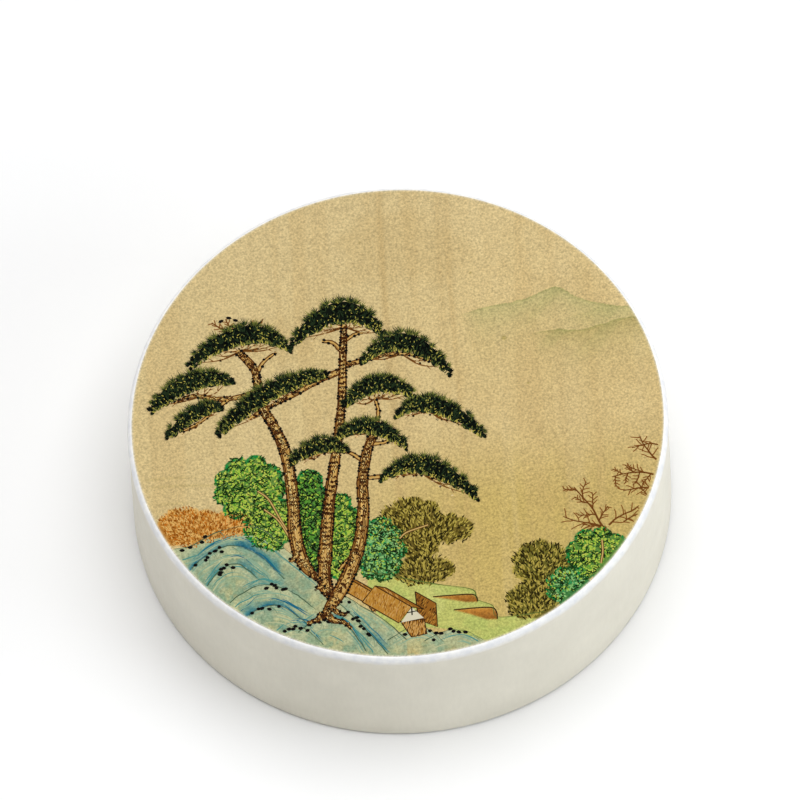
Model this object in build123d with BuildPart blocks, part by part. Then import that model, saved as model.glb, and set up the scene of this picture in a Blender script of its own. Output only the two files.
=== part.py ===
from build123d import *
import os

# Round pressed ink cake in its rigid lift-off lid case. Millimetres, +Z up.
# The origin is on the underside, at the middle. The lid's skirt reaches almost to
# the table, so the closed case shows one plain side wall.

# Driving dimensions of the case
case_diameter = 70.0
case_height = 20.6
board = 1.5  # greyboard, both the wound tubes and the discs
paper = 0.2  # one pasted sheet of paper
silk = 0.25  # lining silk
glue_line = 0.03  # radial room between a wound tube and what is pasted on it
lid_clearance = 0.3  # radial air gap between the base and the lid's bore
lid_seat_gap = 0.1  # between the base's top edge and the lid's ceiling
skirt_lift = 0.4  # the skirt stops this far above the table
paper_margin = 6.5  # width of a wrap's turned-over, turned-in or turned-under margin
fold_radius = 0.15  # of a wrap's fold around a cut edge

# The lid's rolled top edge is a quarter ellipse
edge_width = 0.55
edge_height = 1.1
picture_inset = 0.05  # from the inner end of the rolled edge to the picture

# The ink cake weighs about 30 g, the traditional one-liang size
cake_diameter = 50.0
cake_thickness = 11.5
cake_clearance = 0.4  # radial, to the silk around it
cake_edge_radius = 0.8
cake_border = 2.6  # width of the raised moulded border on each face
cake_relief = 0.5  # how far each face lies below its border

# The foam insert in the base
floor_foam = 2.2
collar_top = 14.0
notch_radius = 10.0  # each finger notch is part of a circle
notch_web = 0.7  # foam left between a notch and the base's tube
notch_corner = 1.2  # rounding where a notch meets the pocket

# The pad in the lid
pad_clearance = 0.5  # radial, to the inside of the base
pad_card = 0.7
pad_foam = 1.15
pad_margin = 6.0  # silk turned over the back of the card

# Radii, from the outside inwards
case_radius = case_diameter / 2
flat_radius = case_radius - edge_width
lid_ring_outer = case_radius - paper - glue_line
lid_ring_inner = lid_ring_outer - board
lid_lining_outer = lid_ring_inner - glue_line
lid_bore = lid_lining_outer - paper
base_outer = lid_bore - lid_clearance
base_ring_outer = base_outer - paper - glue_line
base_ring_inner = base_ring_outer - board
insert_outer = base_ring_inner - glue_line
base_bore = insert_outer - paper
pocket_radius = cake_diameter / 2 + cake_clearance + silk
notch_centre = insert_outer - notch_web - notch_radius
pad_radius = base_bore - pad_clearance
pad_core_radius = pad_radius - silk - glue_line

# Heights, from the table upwards
base_board_bottom = paper + paper
insert_bottom = base_board_bottom + board
pocket_bottom = insert_bottom + floor_foam
cake_bottom = pocket_bottom + silk
cake_top = cake_bottom + cake_thickness
collar_silk_top = collar_top + silk
skirt_board_bottom = skirt_lift + paper
hem_top = skirt_lift + paper_margin

# Heights, from the lid's top downwards
wrap_top = case_height - paper
lid_board_top = wrap_top - paper
lid_lining_top = lid_board_top - board
lid_ceiling = lid_lining_top - paper
base_top = lid_ceiling - lid_seat_gap
edge_centre_height = wrap_top - edge_height
pad_card_top = lid_ceiling - silk
pad_foam_top = pad_card_top - pad_card
pad_foam_bottom = pad_foam_top - pad_foam
pad_bottom = pad_foam_bottom - silk

os.makedirs("parts", exist_ok=True)


def finish(piece, label):
    """Labels a finished sub-part and writes its STEP file."""
    piece.label = label
    export_step(piece, f"parts/{label}.step")


def pocket_outline(height, inset):
    """The pocket and its two finger notches, drawn this far inside the foam's wall."""
    with BuildSketch(Plane.XY.offset(height)) as outline:
        Circle(pocket_radius - inset)
        with Locations((-notch_centre, 0), (notch_centre, 0)):
            Circle(notch_radius - inset)
        fillet(outline.vertices(), notch_corner + inset)
    return outline.sketch


# ------------------------------------------------------- plain round sheets and boards

# Each is a radius, the height of its underside and its thickness
round_sheets = {
    # the printed picture, pasted over the lid's top
    "picture_disc": (flat_radius - picture_inset, wrap_top, paper),
    # fills the step inside the margin of the wrap, under the picture
    "lid_infill": (flat_radius - paper_margin - glue_line, lid_board_top, paper),
    # greyboard pressed into the top of the skirt's tube
    "lid_board": (lid_ring_inner - glue_line, lid_lining_top, board),
    # the lid's ceiling
    "lid_lining": (lid_lining_outer, lid_ceiling, paper),
    # stiffens the lid's pad
    "lid_pad_card": (pad_core_radius, pad_foam_top, pad_card),
    # the soft floor of the cake's pocket
    "insert_floor_foam": (insert_outer, insert_bottom, floor_foam),
    # greyboard pressed into the foot of the base's tube
    "base_board": (insert_outer, base_board_bottom, board),
    # fills the step inside the wrap's turned-under margin
    "base_infill": (base_outer - paper_margin - glue_line, paper, paper),
    # covers the underside, a little smaller than the base
    "base_paper": (base_ring_outer - 1.0, 0.0, paper),
}
for label, (radius, underside, thickness) in round_sheets.items():
    with BuildPart() as sheet:
        with BuildSketch(Plane.XY.offset(underside)):
            Circle(radius)
        extrude(amount=thickness)
    finish(sheet.part, label)


# -------------------------------------------------------------------------------- lid

# Wound board tube that makes the skirt, its top sanded to the rolled edge's curve
with BuildPart() as lid_ring:
    with BuildSketch(Plane.XZ):
        with BuildLine():
            rolled_edge = EllipticalCenterArc(
                (flat_radius, edge_centre_height),
                lid_ring_outer - flat_radius,
                lid_board_top - edge_centre_height,
            )
            Polyline(
                rolled_edge @ 1,
                (lid_ring_inner, lid_board_top),
                (lid_ring_inner, skirt_board_bottom),
                (lid_ring_outer, skirt_board_bottom),
                rolled_edge @ 0,
            )
        make_face()
    revolve(axis=Axis.Z)
finish(lid_ring.part, "lid_ring")

# Ivory paper over the side, turned in under the picture and hemmed up inside the skirt
with BuildPart() as lid_wrap:
    with BuildSketch(Plane.XZ) as wrap_section:
        with BuildLine():
            outer_edge = EllipticalCenterArc(
                (flat_radius, edge_centre_height), edge_width, edge_height
            )
            inner_edge = EllipticalCenterArc(
                (flat_radius, edge_centre_height),
                edge_width - paper,
                edge_height - paper,
            )
            Polyline(
                outer_edge @ 1,
                (flat_radius - paper_margin, wrap_top),
                (flat_radius - paper_margin, lid_board_top),
                inner_edge @ 1,
            )
            Polyline(
                inner_edge @ 0,
                (case_radius - paper, skirt_board_bottom),
                (lid_lining_outer, skirt_board_bottom),
                (lid_lining_outer, hem_top),
                (lid_bore, hem_top),
                (lid_bore, skirt_lift),
                (case_radius, skirt_lift),
                outer_edge @ 0,
            )
        make_face()
        fillet(wrap_section.vertices().group_by(Axis.Y)[0], fold_radius)
    revolve(axis=Axis.Z)
finish(lid_wrap.part, "lid_wrap")

# Paper strip inside the skirt, from the hem up to the ceiling
with BuildPart() as lid_skirt_lining:
    with BuildSketch(Plane.XY.offset(hem_top)):
        Circle(lid_lining_outer)
        Circle(lid_bore, mode=Mode.SUBTRACT)
    extrude(amount=lid_ceiling - hem_top)
finish(lid_skirt_lining.part, "lid_skirt_lining")

# Thin foam under the pad's card, rounded where the silk turns up over it
with BuildPart() as lid_pad_foam:
    with BuildSketch(Plane.XY.offset(pad_foam_bottom)):
        Circle(pad_core_radius)
    extrude(amount=pad_foam)
    fillet(lid_pad_foam.edges().group_by(Axis.Z)[0], pad_foam / 2)
finish(lid_pad_foam.part, "lid_pad_foam")

# Silk stretched over the pad, its margin turned over the back of the card
with BuildPart() as lid_pad_silk:
    with BuildSketch(Plane.XZ):
        with BuildLine():
            turn_centre = (pad_radius - silk - pad_foam / 2, pad_foam_bottom + pad_foam / 2)
            outer_turn = CenterArc(turn_centre, pad_foam / 2 + silk, 0, -90)
            inner_turn = CenterArc(turn_centre, pad_foam / 2, 0, -90)
            Polyline(
                outer_turn @ 1,
                (0, pad_bottom),
                (0, pad_foam_bottom),
                inner_turn @ 1,
            )
            Polyline(
                inner_turn @ 0,
                (pad_radius - silk, pad_card_top),
                (pad_radius - silk - pad_margin, pad_card_top),
                (pad_radius - silk - pad_margin, lid_ceiling),
                (pad_radius, lid_ceiling),
                outer_turn @ 0,
            )
        make_face()
    revolve(axis=Axis.Z)
finish(lid_pad_silk.part, "lid_pad_silk")


# ------------------------------------------------------------------------------- base

# Wound board tube that the lid slides over
with BuildPart() as base_ring:
    with BuildSketch(Plane.XY.offset(base_board_bottom)):
        Circle(base_ring_outer)
        Circle(base_ring_inner, mode=Mode.SUBTRACT)
    extrude(amount=base_top - paper - base_board_bottom)
finish(base_ring.part, "base_ring")

# Ivory paper over the tube, turned under the base and in over the tube's top
with BuildPart() as base_wrap:
    with BuildSketch(Plane.XZ) as base_section:
        with BuildLine():
            Polyline(
                (base_outer - paper_margin, paper),
                (base_outer, paper),
                (base_outer, base_top),
                (base_bore, base_top),
                (base_bore, collar_silk_top),
                (insert_outer, collar_silk_top),
                (insert_outer, base_top - paper),
                (base_outer - paper, base_top - paper),
                (base_outer - paper, base_board_bottom),
                (base_outer - paper_margin, base_board_bottom),
                close=True,
            )
        make_face()
        outside_foot = base_section.vertices().group_by(Axis.Y)[0].sort_by(Axis.X)[-1]
        fillet(outside_foot, fold_radius)
        fillet(base_section.vertices().group_by(Axis.Y)[-1], fold_radius)
    revolve(axis=Axis.Z)
finish(base_wrap.part, "base_wrap")

# Foam ring with the cake's pocket and a finger notch on each side
with BuildPart() as insert_collar_foam:
    with BuildSketch(Plane.XY.offset(pocket_bottom)):
        Circle(insert_outer)
    extrude(amount=collar_top - pocket_bottom)
    extrude(pocket_outline(pocket_bottom, 0), amount=collar_top, mode=Mode.SUBTRACT)
finish(insert_collar_foam.part, "insert_collar_foam")

# Silk over the collar, down the pocket's wall and across its floor
with BuildPart() as insert_silk:
    with BuildSketch(Plane.XY.offset(collar_top)):
        Circle(insert_outer)
    extrude(amount=silk)
    extrude(pocket_outline(pocket_bottom, 0), amount=collar_top - pocket_bottom)
    extrude(pocket_outline(cake_bottom, silk), amount=collar_top, mode=Mode.SUBTRACT)
finish(insert_silk.part, "insert_silk")


# --------------------------------------------------------------------------- ink cake

# Round moulded cake with a raised border on both faces
with BuildPart() as ink_cake:
    with BuildSketch(Plane.XY.offset(cake_bottom)):
        Circle(cake_diameter / 2)
    extrude(amount=cake_thickness)
    fillet(ink_cake.edges().filter_by(GeomType.CIRCLE), cake_edge_radius)
    for face_height, inwards in ((cake_bottom, 1), (cake_top, -1)):
        with BuildSketch(Plane.XY.offset(face_height)):
            Circle(cake_diameter / 2 - cake_border)
        extrude(amount=inwards * cake_relief, mode=Mode.SUBTRACT)
finish(ink_cake.part, "ink_cake")
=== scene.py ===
import math
import random

import bpy
import numpy as np
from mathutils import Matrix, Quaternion, Vector


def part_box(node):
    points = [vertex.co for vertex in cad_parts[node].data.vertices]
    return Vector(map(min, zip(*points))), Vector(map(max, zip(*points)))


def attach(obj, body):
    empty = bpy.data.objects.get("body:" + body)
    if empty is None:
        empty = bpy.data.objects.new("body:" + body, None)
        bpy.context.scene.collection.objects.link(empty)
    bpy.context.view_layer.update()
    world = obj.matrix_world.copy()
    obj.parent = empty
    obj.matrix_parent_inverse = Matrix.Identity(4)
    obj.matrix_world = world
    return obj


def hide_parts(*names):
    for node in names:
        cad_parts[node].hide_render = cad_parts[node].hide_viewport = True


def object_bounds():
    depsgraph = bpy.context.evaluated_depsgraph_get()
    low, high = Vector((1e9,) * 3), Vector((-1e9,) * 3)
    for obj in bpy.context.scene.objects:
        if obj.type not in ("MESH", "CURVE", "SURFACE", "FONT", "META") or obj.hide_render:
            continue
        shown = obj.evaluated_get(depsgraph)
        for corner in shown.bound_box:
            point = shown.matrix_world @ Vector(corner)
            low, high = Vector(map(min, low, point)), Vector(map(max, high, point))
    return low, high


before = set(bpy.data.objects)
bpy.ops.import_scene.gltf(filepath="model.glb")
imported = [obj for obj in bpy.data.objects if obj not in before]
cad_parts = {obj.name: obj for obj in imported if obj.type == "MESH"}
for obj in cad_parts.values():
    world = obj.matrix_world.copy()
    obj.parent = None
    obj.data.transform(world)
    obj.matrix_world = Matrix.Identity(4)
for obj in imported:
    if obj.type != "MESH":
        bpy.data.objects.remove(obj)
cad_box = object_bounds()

# A round ink cake in its ivory lift-off lid case, with a landscape painted in mineral
# colours on silk. Lengths are in metres in the model's frame. The picture is drawn in
# units of its own radius: u to the right, v away from the viewer.

MM = 0.001
TURN = 2 * math.pi
SEGMENTS = 360  # of every round piece
MIDDLE = 0.02  # where a disc's middle face starts, as a share of its radius
rng = random.Random(7)

CASE_LOW, CASE_HIGH = cad_box
CASE_R = (CASE_HIGH.x - CASE_LOW.x) / 2
PICTURE_LOW, PICTURE_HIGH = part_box("picture_disc")
PICTURE_R = (PICTURE_HIGH.x - PICTURE_LOW.x) / 2
CAKE_LOW, CAKE_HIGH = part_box("ink_cake")
CAKE_R = (CAKE_HIGH.x - CAKE_LOW.x) / 2


# ------------------------------------------------------------------------ mesh helpers


def new_piece(name, points, faces, materials, material_of_face=None):
    """A smooth-shaded mesh object with these materials."""
    mesh = bpy.data.meshes.new(name)
    mesh.from_pydata([tuple(p) for p in points], [], [tuple(f) for f in faces])
    for material in materials:
        mesh.materials.append(material)
    if material_of_face is not None:
        mesh.polygons.foreach_set("material_index", material_of_face)
    mesh.polygons.foreach_set("use_smooth", [True] * len(mesh.polygons))
    mesh.update()
    mesh.set_sharp_from_angle(angle=math.radians(40))
    piece = bpy.data.objects.new(name, mesh)
    bpy.context.scene.collection.objects.link(piece)
    return piece


def loft(name, rings, material, closed=False, first_cap=False, last_cap=False):
    """Joins rings of points, each the same number long, into a surface round the Z axis."""
    rings = np.asarray(rings, float)
    count, around = rings.shape[:2]
    last = count if closed else count - 1
    faces = []
    for i in range(last):
        a, b = i * around, (i + 1) % count * around
        for j in range(around):
            k = (j + 1) % around
            faces.append((a + j, a + k, b + k, b + j))
    if first_cap:
        faces.append(tuple(range(around))[::-1])
    if last_cap:
        faces.append(tuple(range((count - 1) * around, count * around)))
    return new_piece(name, rings.reshape(-1, 3), faces, [material])


def angles():
    """The angles of the points round a piece."""
    return np.arange(SEGMENTS) * TURN / SEGMENTS


def far_out(points):
    """How far each 2-D point is from the middle."""
    return np.hypot(points[:, 0], points[:, 1])


def circle(a):
    """The points of the unit circle at these angles."""
    return np.stack([np.cos(a), np.sin(a)], 1)


def ring(radius, height, around=None):
    """One ring of points; radius and height may each be a number or one value per angle."""
    a = angles() if around is None else around
    radius = np.broadcast_to(radius, a.shape)
    height = np.broadcast_to(height, a.shape)
    return np.stack([radius * np.cos(a), radius * np.sin(a), height], axis=1)


def quarter(centre_r, centre_z, radius_r, radius_z, start, end, steps=8):
    """Points of an elliptical arc in a profile, from start to end in degrees."""
    swept = np.radians(np.linspace(start, end, steps + 1))
    return [(centre_r + radius_r * math.cos(t), centre_z + radius_z * math.sin(t)) for t in swept]


def smooth_noise(points, size, seed):
    """Soft random values from -1 to 1 at 2-D points, with features about that size."""
    lattice = np.random.default_rng(seed).uniform(-1, 1, (64, 64))
    scaled = np.asarray(points, float) / size
    cell = np.floor(scaled).astype(int)
    t = scaled - cell
    t = t * t * (3 - 2 * t)
    i, j = cell[..., 0] % 64, cell[..., 1] % 64
    i1, j1 = (i + 1) % 64, (j + 1) % 64
    low = lattice[i, j] * (1 - t[..., 0]) + lattice[i1, j] * t[..., 0]
    high = lattice[i, j1] * (1 - t[..., 0]) + lattice[i1, j1] * t[..., 0]
    return low * (1 - t[..., 1]) + high * t[..., 1]


def ramp(x, start, end):
    """0 before start, 1 after end, smooth between; start may be above end."""
    t = np.clip((x - start) / (end - start), 0, 1)
    return t * t * (3 - 2 * t)


# -------------------------------------------------------------------- material helpers


def linear(colour):
    """A 0 to 255 display colour as the linear values that shaders take."""
    c = np.asarray(colour, float) / 255
    return np.where(c <= 0.04045, c / 12.92, ((c + 0.055) / 1.055) ** 2.4)


def rgba(colour, change=0):
    """A display colour, lightened or darkened by this much, as an opaque linear one."""
    return (*linear(np.asarray(colour) + change), 1)


class Shader:
    """A Principled material built up node by node. Patterns follow the object's own frame,
    or the flat cloth where the piece stores one."""

    def __init__(self, name, colour, roughness, **plain):
        self.material = bpy.data.materials.new(name)
        self.material.use_nodes = True
        self.tree = self.material.node_tree
        self.surface = self.tree.nodes["Principled BSDF"]
        self.surface.inputs["Base Color"].default_value = rgba(colour)
        self.surface.inputs["Roughness"].default_value = roughness
        for socket, value in plain.items():
            self.surface.inputs[socket.replace("_", " ")].default_value = value
        self.cloth = None

    def node(self, kind, inputs=(), **settings):
        made = self.tree.nodes.new("ShaderNode" + kind)
        for key, value in settings.items():
            setattr(made, key, value)
        for key, value in dict(inputs).items():
            if isinstance(value, bpy.types.NodeSocket):
                self.tree.links.new(value, made.inputs[key])
            else:
                made.inputs[key].default_value = value
        return made

    def place(self, stretch=(1, 1, 1)):
        """The object's or the flat cloth's coordinates, with each axis scaled."""
        where = self.cloth or self.node("TexCoord").outputs["Object"]
        if tuple(stretch) == (1, 1, 1):
            return where
        return self.node("Mapping", {"Vector": where, "Scale": stretch}).outputs["Vector"]

    def noise(self, size, detail=3, stretch=(1, 1, 1), rough=0.55):
        """Noise whose features are about this size, in metres."""
        values = {"Vector": self.place(stretch), "Scale": 1 / size, "Detail": detail, "Roughness": rough}
        return self.node("TexNoise", values).outputs["Fac"]

    def patches(self, size, detail, to_low=0.0, to_high=1.0):
        """Noise spread over its whole range."""
        return self.remap(self.noise(size, detail), 0.3, 0.7, to_low, to_high)

    def along(self, axis):
        """One of the coordinates."""
        return self.node("SeparateXYZ", {"Vector": self.place()}).outputs[axis]

    def maths(self, operation, *values):
        return self.node("Math", dict(enumerate(values)), operation=operation).outputs[0]

    def plus(self, first, second):
        return self.maths("ADD", first, second)

    def times(self, first, second):
        return self.maths("MULTIPLY", first, second)

    def remap(self, value, low, high, to_low=0.0, to_high=1.0):
        inputs = {"Value": value, "From Min": low, "From Max": high, "To Min": to_low, "To Max": to_high}
        return self.node("MapRange", inputs, clamp=True).outputs["Result"]

    def blend(self, share, first, second, mode="MIX"):
        """Mixes two colours, each a socket or an RGBA tuple."""
        inputs = {0: share, 6: first, 7: second}
        return self.node("Mix", inputs, data_type="RGBA", blend_type=mode).outputs[2]

    def paint(self, colour):
        self.tree.links.new(colour, self.surface.inputs["Base Color"])

    def drive(self, socket, value):
        self.tree.links.new(value, self.surface.inputs[socket])

    def bump(self, height, depth):
        """Raises the surface by up to this depth, in metres, where height is 1."""
        made = self.node("Bump", {"Height": height, "Distance": depth, "Strength": 1.0})
        self.tree.links.new(made.outputs["Normal"], self.surface.inputs["Normal"])


def paper_material(name, colour, roughness, highlight_from=None):
    """Satin-coated paper: faint clouding, fine fibres and a tooth; a painted highlight, cool white, along
    its rolled fold.
    """
    s = Shader(name, colour, roughness, Specular_IOR_Level=0.35)
    cloud = s.patches(9 * MM, 4)
    fibres = s.remap(s.noise(0.5 * MM, 5, (1, 1, 0.25)), 0.35, 0.65)
    shade = s.blend(cloud, rgba(colour, -7), rgba(colour, 3))
    shade = s.blend(s.times(fibres, 0.12), shade, rgba(colour, -26))
    if highlight_from is not None:
        # painted highlight: a cool white band down the rolled top edge, where light catches it
        wavy = s.plus(s.along("Z"), s.times(s.noise(2 * MM, 4), 0.7 * MM))
        painted_highlight = s.remap(wavy, highlight_from, highlight_from + 0.9 * MM)
        mottle = s.remap(s.noise(1.1 * MM, 3), 0.35, 0.65)
        white = s.blend(mottle, rgba((234, 235, 237)), rgba((251, 250, 247)))
        shade = s.blend(painted_highlight, shade, white)
    s.paint(shade)
    s.drive("Roughness", s.patches(1.6 * MM, 4, roughness - 0.06, roughness + 0.08))
    tooth = s.plus(s.noise(0.22 * MM, 3), s.times(s.noise(3 * MM, 2), 0.8))
    s.bump(tooth, 0.012 * MM)
    return s.material


def board_material(name):
    """Recycled greyboard: flecked, fibrous and layered."""
    s = Shader(name, (150, 144, 132), 0.85, Specular_IOR_Level=0.2)
    flecks = s.remap(s.noise(0.3 * MM, 4), 0.5, 0.7)
    layers = s.remap(s.noise(0.35 * MM, 2, (0.08, 0.08, 1)), 0.35, 0.65)
    shade = s.blend(layers, rgba((138, 132, 120)), rgba((163, 157, 145)))
    s.paint(s.blend(flecks, shade, rgba((112, 106, 98))))
    s.bump(s.noise(0.25 * MM, 5), 0.05 * MM)
    return s.material


def foam_material(name):
    """Fine open-cell foam, with painted shade darkening its pores."""
    s = Shader(name, (233, 230, 218), 0.9, Specular_IOR_Level=0.15)
    cells = s.node("TexVoronoi", {"Vector": s.place(), "Scale": 1 / (0.35 * MM)}).outputs["Distance"]
    pore_shade_and_depth = s.remap(cells, 0.0, 0.5)
    # painted shade: darker in the pores, which the same value also sinks in the bump
    s.paint(s.blend(pore_shade_and_depth, rgba((198, 193, 178)), rgba((240, 237, 227))))
    s.bump(pore_shade_and_depth, 0.08 * MM)
    return s.material


def satin_material(name, colour, glow):
    """Silk damask: a soft sheen, fine threads, and a woven lattice of ringed dots."""
    s = Shader(name, colour, 0.36, Specular_IOR_Level=0.45, Sheen_Weight=0.35, Sheen_Roughness=0.4)
    s.cloth = s.node("Attribute", attribute_name="cloth").outputs["Vector"]
    slubs = s.remap(s.noise(0.25 * MM, 2, (0.2, 1, 1)), 0.45, 0.75)
    cloud = s.patches(6 * MM, 3)

    def wave(kind, axis, pitch):
        return s.maths(kind, s.times(s.along(axis), TURN / pitch))

    lattice = s.plus(wave("COSINE", "X", 3.6 * MM), wave("COSINE", "Y", 3.6 * MM))
    dots = s.remap(lattice, 1.45, 1.6)
    rings = s.times(s.remap(lattice, 0.72, 0.86), s.remap(lattice, 1.22, 1.08))
    studs = s.remap(lattice, -1.55, -1.7)
    figure = s.plus(s.plus(dots, rings), studs)
    shade = s.blend(cloud, rgba(np.array(colour) * 0.95), rgba(colour))
    light = s.plus(s.times(slubs, 0.2), s.times(figure, 0.62))
    s.paint(s.blend(light, shade, rgba(glow)))
    weave = s.plus(wave("SINE", "Y", 0.16 * MM), s.times(wave("SINE", "X", 0.3 * MM), 0.35))
    s.drive("Roughness", s.remap(figure, 0, 1, 0.44, 0.3))
    s.bump(s.plus(s.times(weave, 0.25), s.times(figure, 1.5)), 0.012 * MM)
    return s.material


# the lid's wrap gets a painted highlight on its rolled edge, from 1.25 mm below its top
IVORY = paper_material("ivory_wrap_paper", (231, 226, 209), 0.4, CASE_HIGH.z - 1.25 * MM)
IVORY_BASE = paper_material("ivory_base_paper", (231, 226, 209), 0.42)
LINING = paper_material("lining_paper", (240, 234, 214), 0.62)
BOARD = board_material("greyboard")
FOAM = foam_material("foam")
SATIN = satin_material("gold_damask", (206, 152, 62), (240, 206, 122))

BOARD_NODES = ("lid_ring", "lid_board", "lid_pad_card", "base_ring", "base_board")
LINING_NODES = ("lid_infill", "lid_lining", "lid_skirt_lining", "base_infill", "base_paper")
for material, nodes in ((BOARD, BOARD_NODES), (LINING, LINING_NODES)):
    for node in nodes:
        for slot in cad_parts[node].material_slots:
            slot.material = material


# ------------------------------------------------------------------- the case's papers

PAPER = 0.2 * MM
SILK = 0.25 * MM
EDGE_W, EDGE_H = 0.55 * MM, 1.1 * MM  # the lid's rolled top edge
FOLD = 0.15 * MM  # radius of the paper's other folds
WRAP_LOW, WRAP_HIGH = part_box("lid_wrap")
BASE_WRAP_LOW, BASE_WRAP_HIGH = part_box("base_wrap")
LID_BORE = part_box("lid_skirt_lining")[1].x - PAPER
BASE_R = BASE_WRAP_HIGH.x
BASE_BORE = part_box("insert_collar_foam")[1].x - PAPER


def lap_seam(degrees):
    """Angles, and how far the wrap stands out where its end laps over its start."""
    a = angles()
    start = round(degrees / 360 * SEGMENTS)
    a[start - 1] = a[start] - 0.0012  # a narrow step, the cut edge of the paper
    return a, 0.12 * MM * np.exp(-((a - a[start]) % TURN) / 0.12)


def lid_wrap():
    """Ivory paper round the lid, with the lap of its side seam at the back."""
    margin_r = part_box("lid_infill")[1].x
    hem_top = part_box("lid_skirt_lining")[0].z
    top, foot = WRAP_HIGH.z, WRAP_LOW.z
    centre_r, centre_z = CASE_R - EDGE_W, top - EDGE_H
    a, lap = lap_seam(96)
    waviness = 0.012 * MM * smooth_noise(circle(a) * 3 + 9, 1.0, 3)
    outer = [(margin_r, top)]
    outer += quarter(centre_r, centre_z, EDGE_W, EDGE_H, 90, 0, 10)
    groove = 0.09 * MM  # the paper is drawn in below the bead of the rolled edge
    for share, inset in ((0.02, 0.2), (0.045, 0.75), (0.07, 1.0), (0.1, 0.97), (0.15, 0.85)):
        outer.append((CASE_R - groove * inset, centre_z - share * (centre_z - foot)))
    for share in np.linspace(0.25, 1, 9):
        z = centre_z - share * (centre_z - foot - FOLD)
        outer.append((CASE_R - groove * 0.85 * ramp(share, 0.7, 0.1), z))
    outer += quarter(CASE_R - FOLD, foot + FOLD, FOLD, FOLD, 0, -90, 4)[1:]
    inner = quarter(LID_BORE + FOLD, foot + FOLD, FOLD, FOLD, -90, -180, 4)
    inner += [(LID_BORE, hem_top), (LID_BORE + PAPER, hem_top), (LID_BORE + PAPER, foot + PAPER)]
    inner += [(CASE_R - PAPER, foot + PAPER), (CASE_R - PAPER, centre_z)]
    inner += quarter(centre_r, centre_z, EDGE_W - PAPER, EDGE_H - PAPER, 0, 90, 6)[1:]
    inner += [(margin_r, top - PAPER)]
    rings = []
    for r, z in outer:
        share = ramp(r, centre_r, CASE_R - groove) * ramp(z, foot, foot + 1 * MM)
        rings.append(ring(r + share * (lap + waviness), z, a))
    rings += [ring(r, z, a) for r, z in inner]
    return loft("lid_wrap_paper", rings, IVORY, closed=True)


def base_wrap():
    """Ivory paper round the base, turned in over its top and under its foot."""
    top, foot = BASE_WRAP_HIGH.z, BASE_WRAP_LOW.z
    inside_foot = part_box("insert_silk")[1].z
    margin_r = BASE_R - 6.5 * MM
    profile = [(margin_r, foot), (BASE_R - FOLD, foot)]
    profile += quarter(BASE_R - FOLD, foot + FOLD, FOLD, FOLD, -90, 0, 4)
    profile += [(BASE_R, z) for z in np.linspace(foot, top, 8)[1:-1]]
    profile += quarter(BASE_R - FOLD, top - FOLD, FOLD, FOLD, 0, 90, 4)
    profile += quarter(BASE_BORE + FOLD, top - FOLD, FOLD, FOLD, 90, 180, 4)
    profile += [(BASE_BORE, inside_foot), (BASE_BORE + PAPER, inside_foot)]
    profile += [(BASE_BORE + PAPER, top - PAPER), (BASE_R - PAPER, top - PAPER)]
    profile += [(BASE_R - PAPER, foot + PAPER), (margin_r, foot + PAPER)]
    a, lap = lap_seam(300)
    rings = [ring(r + lap * (r > BASE_R - FOLD / 2), z, a) for r, z in profile]
    return loft("base_wrap_paper", rings, IVORY_BASE, closed=True)


# ------------------------------------------------------------ the insert and its silk


def pocket_radius(inset):
    """The pocket's radius at each angle, with the finger notches on its two sides."""
    notch_r = 10 * MM
    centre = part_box("insert_collar_foam")[1].x - 0.7 * MM - notch_r
    round_r, notch_r = CAKE_R + 0.65 * MM - inset, notch_r - inset
    a = angles()
    across = np.maximum(notch_r**2 - (centre * np.sin(a)) ** 2, 0)
    notch = np.where(across > 0, np.abs(centre * np.cos(a)) + np.sqrt(across), 0)
    radius = np.maximum(round_r, notch)
    for _ in range(6):  # rounds the corners where a notch meets the pocket
        radius = (np.roll(radius, 1) + radius * 2 + np.roll(radius, -1)) / 4
    return radius


def gathers(seed):
    """Uneven pleats round the pocket, from -1 to 1 at each angle."""
    where = circle(angles()) * 40 + 70
    return smooth_noise(where, 2.2, seed) * 0.7 + smooth_noise(where, 5.0, seed + 1) * 0.5


def woven(name, rings, middle_last=False):
    """A thin cloth from its rings. Each point keeps its place on the flat cloth, so that
    the woven figure follows the folds."""
    rings = np.asarray(rings)
    outwards = rings[::-1] if middle_last else rings
    steps = np.linalg.norm(np.diff(outwards, axis=0), axis=2)
    along = np.vstack([np.hypot(*outwards[0, :, :2].T), steps]).cumsum(axis=0)
    if middle_last:
        along = along[::-1]
    a = angles()
    flat = np.stack([along * np.cos(a), along * np.sin(a), along * 0], 2)
    piece = loft(name, rings, SATIN, first_cap=not middle_last, last_cap=middle_last)
    layer = piece.data.attributes.new("cloth", "FLOAT_VECTOR", "POINT")
    layer.data.foreach_set("vector", flat.astype(np.float32).ravel())
    solid = piece.modifiers.new("thickness", "SOLIDIFY")
    solid.thickness, solid.offset = 0.12 * MM, -1
    return piece


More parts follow.
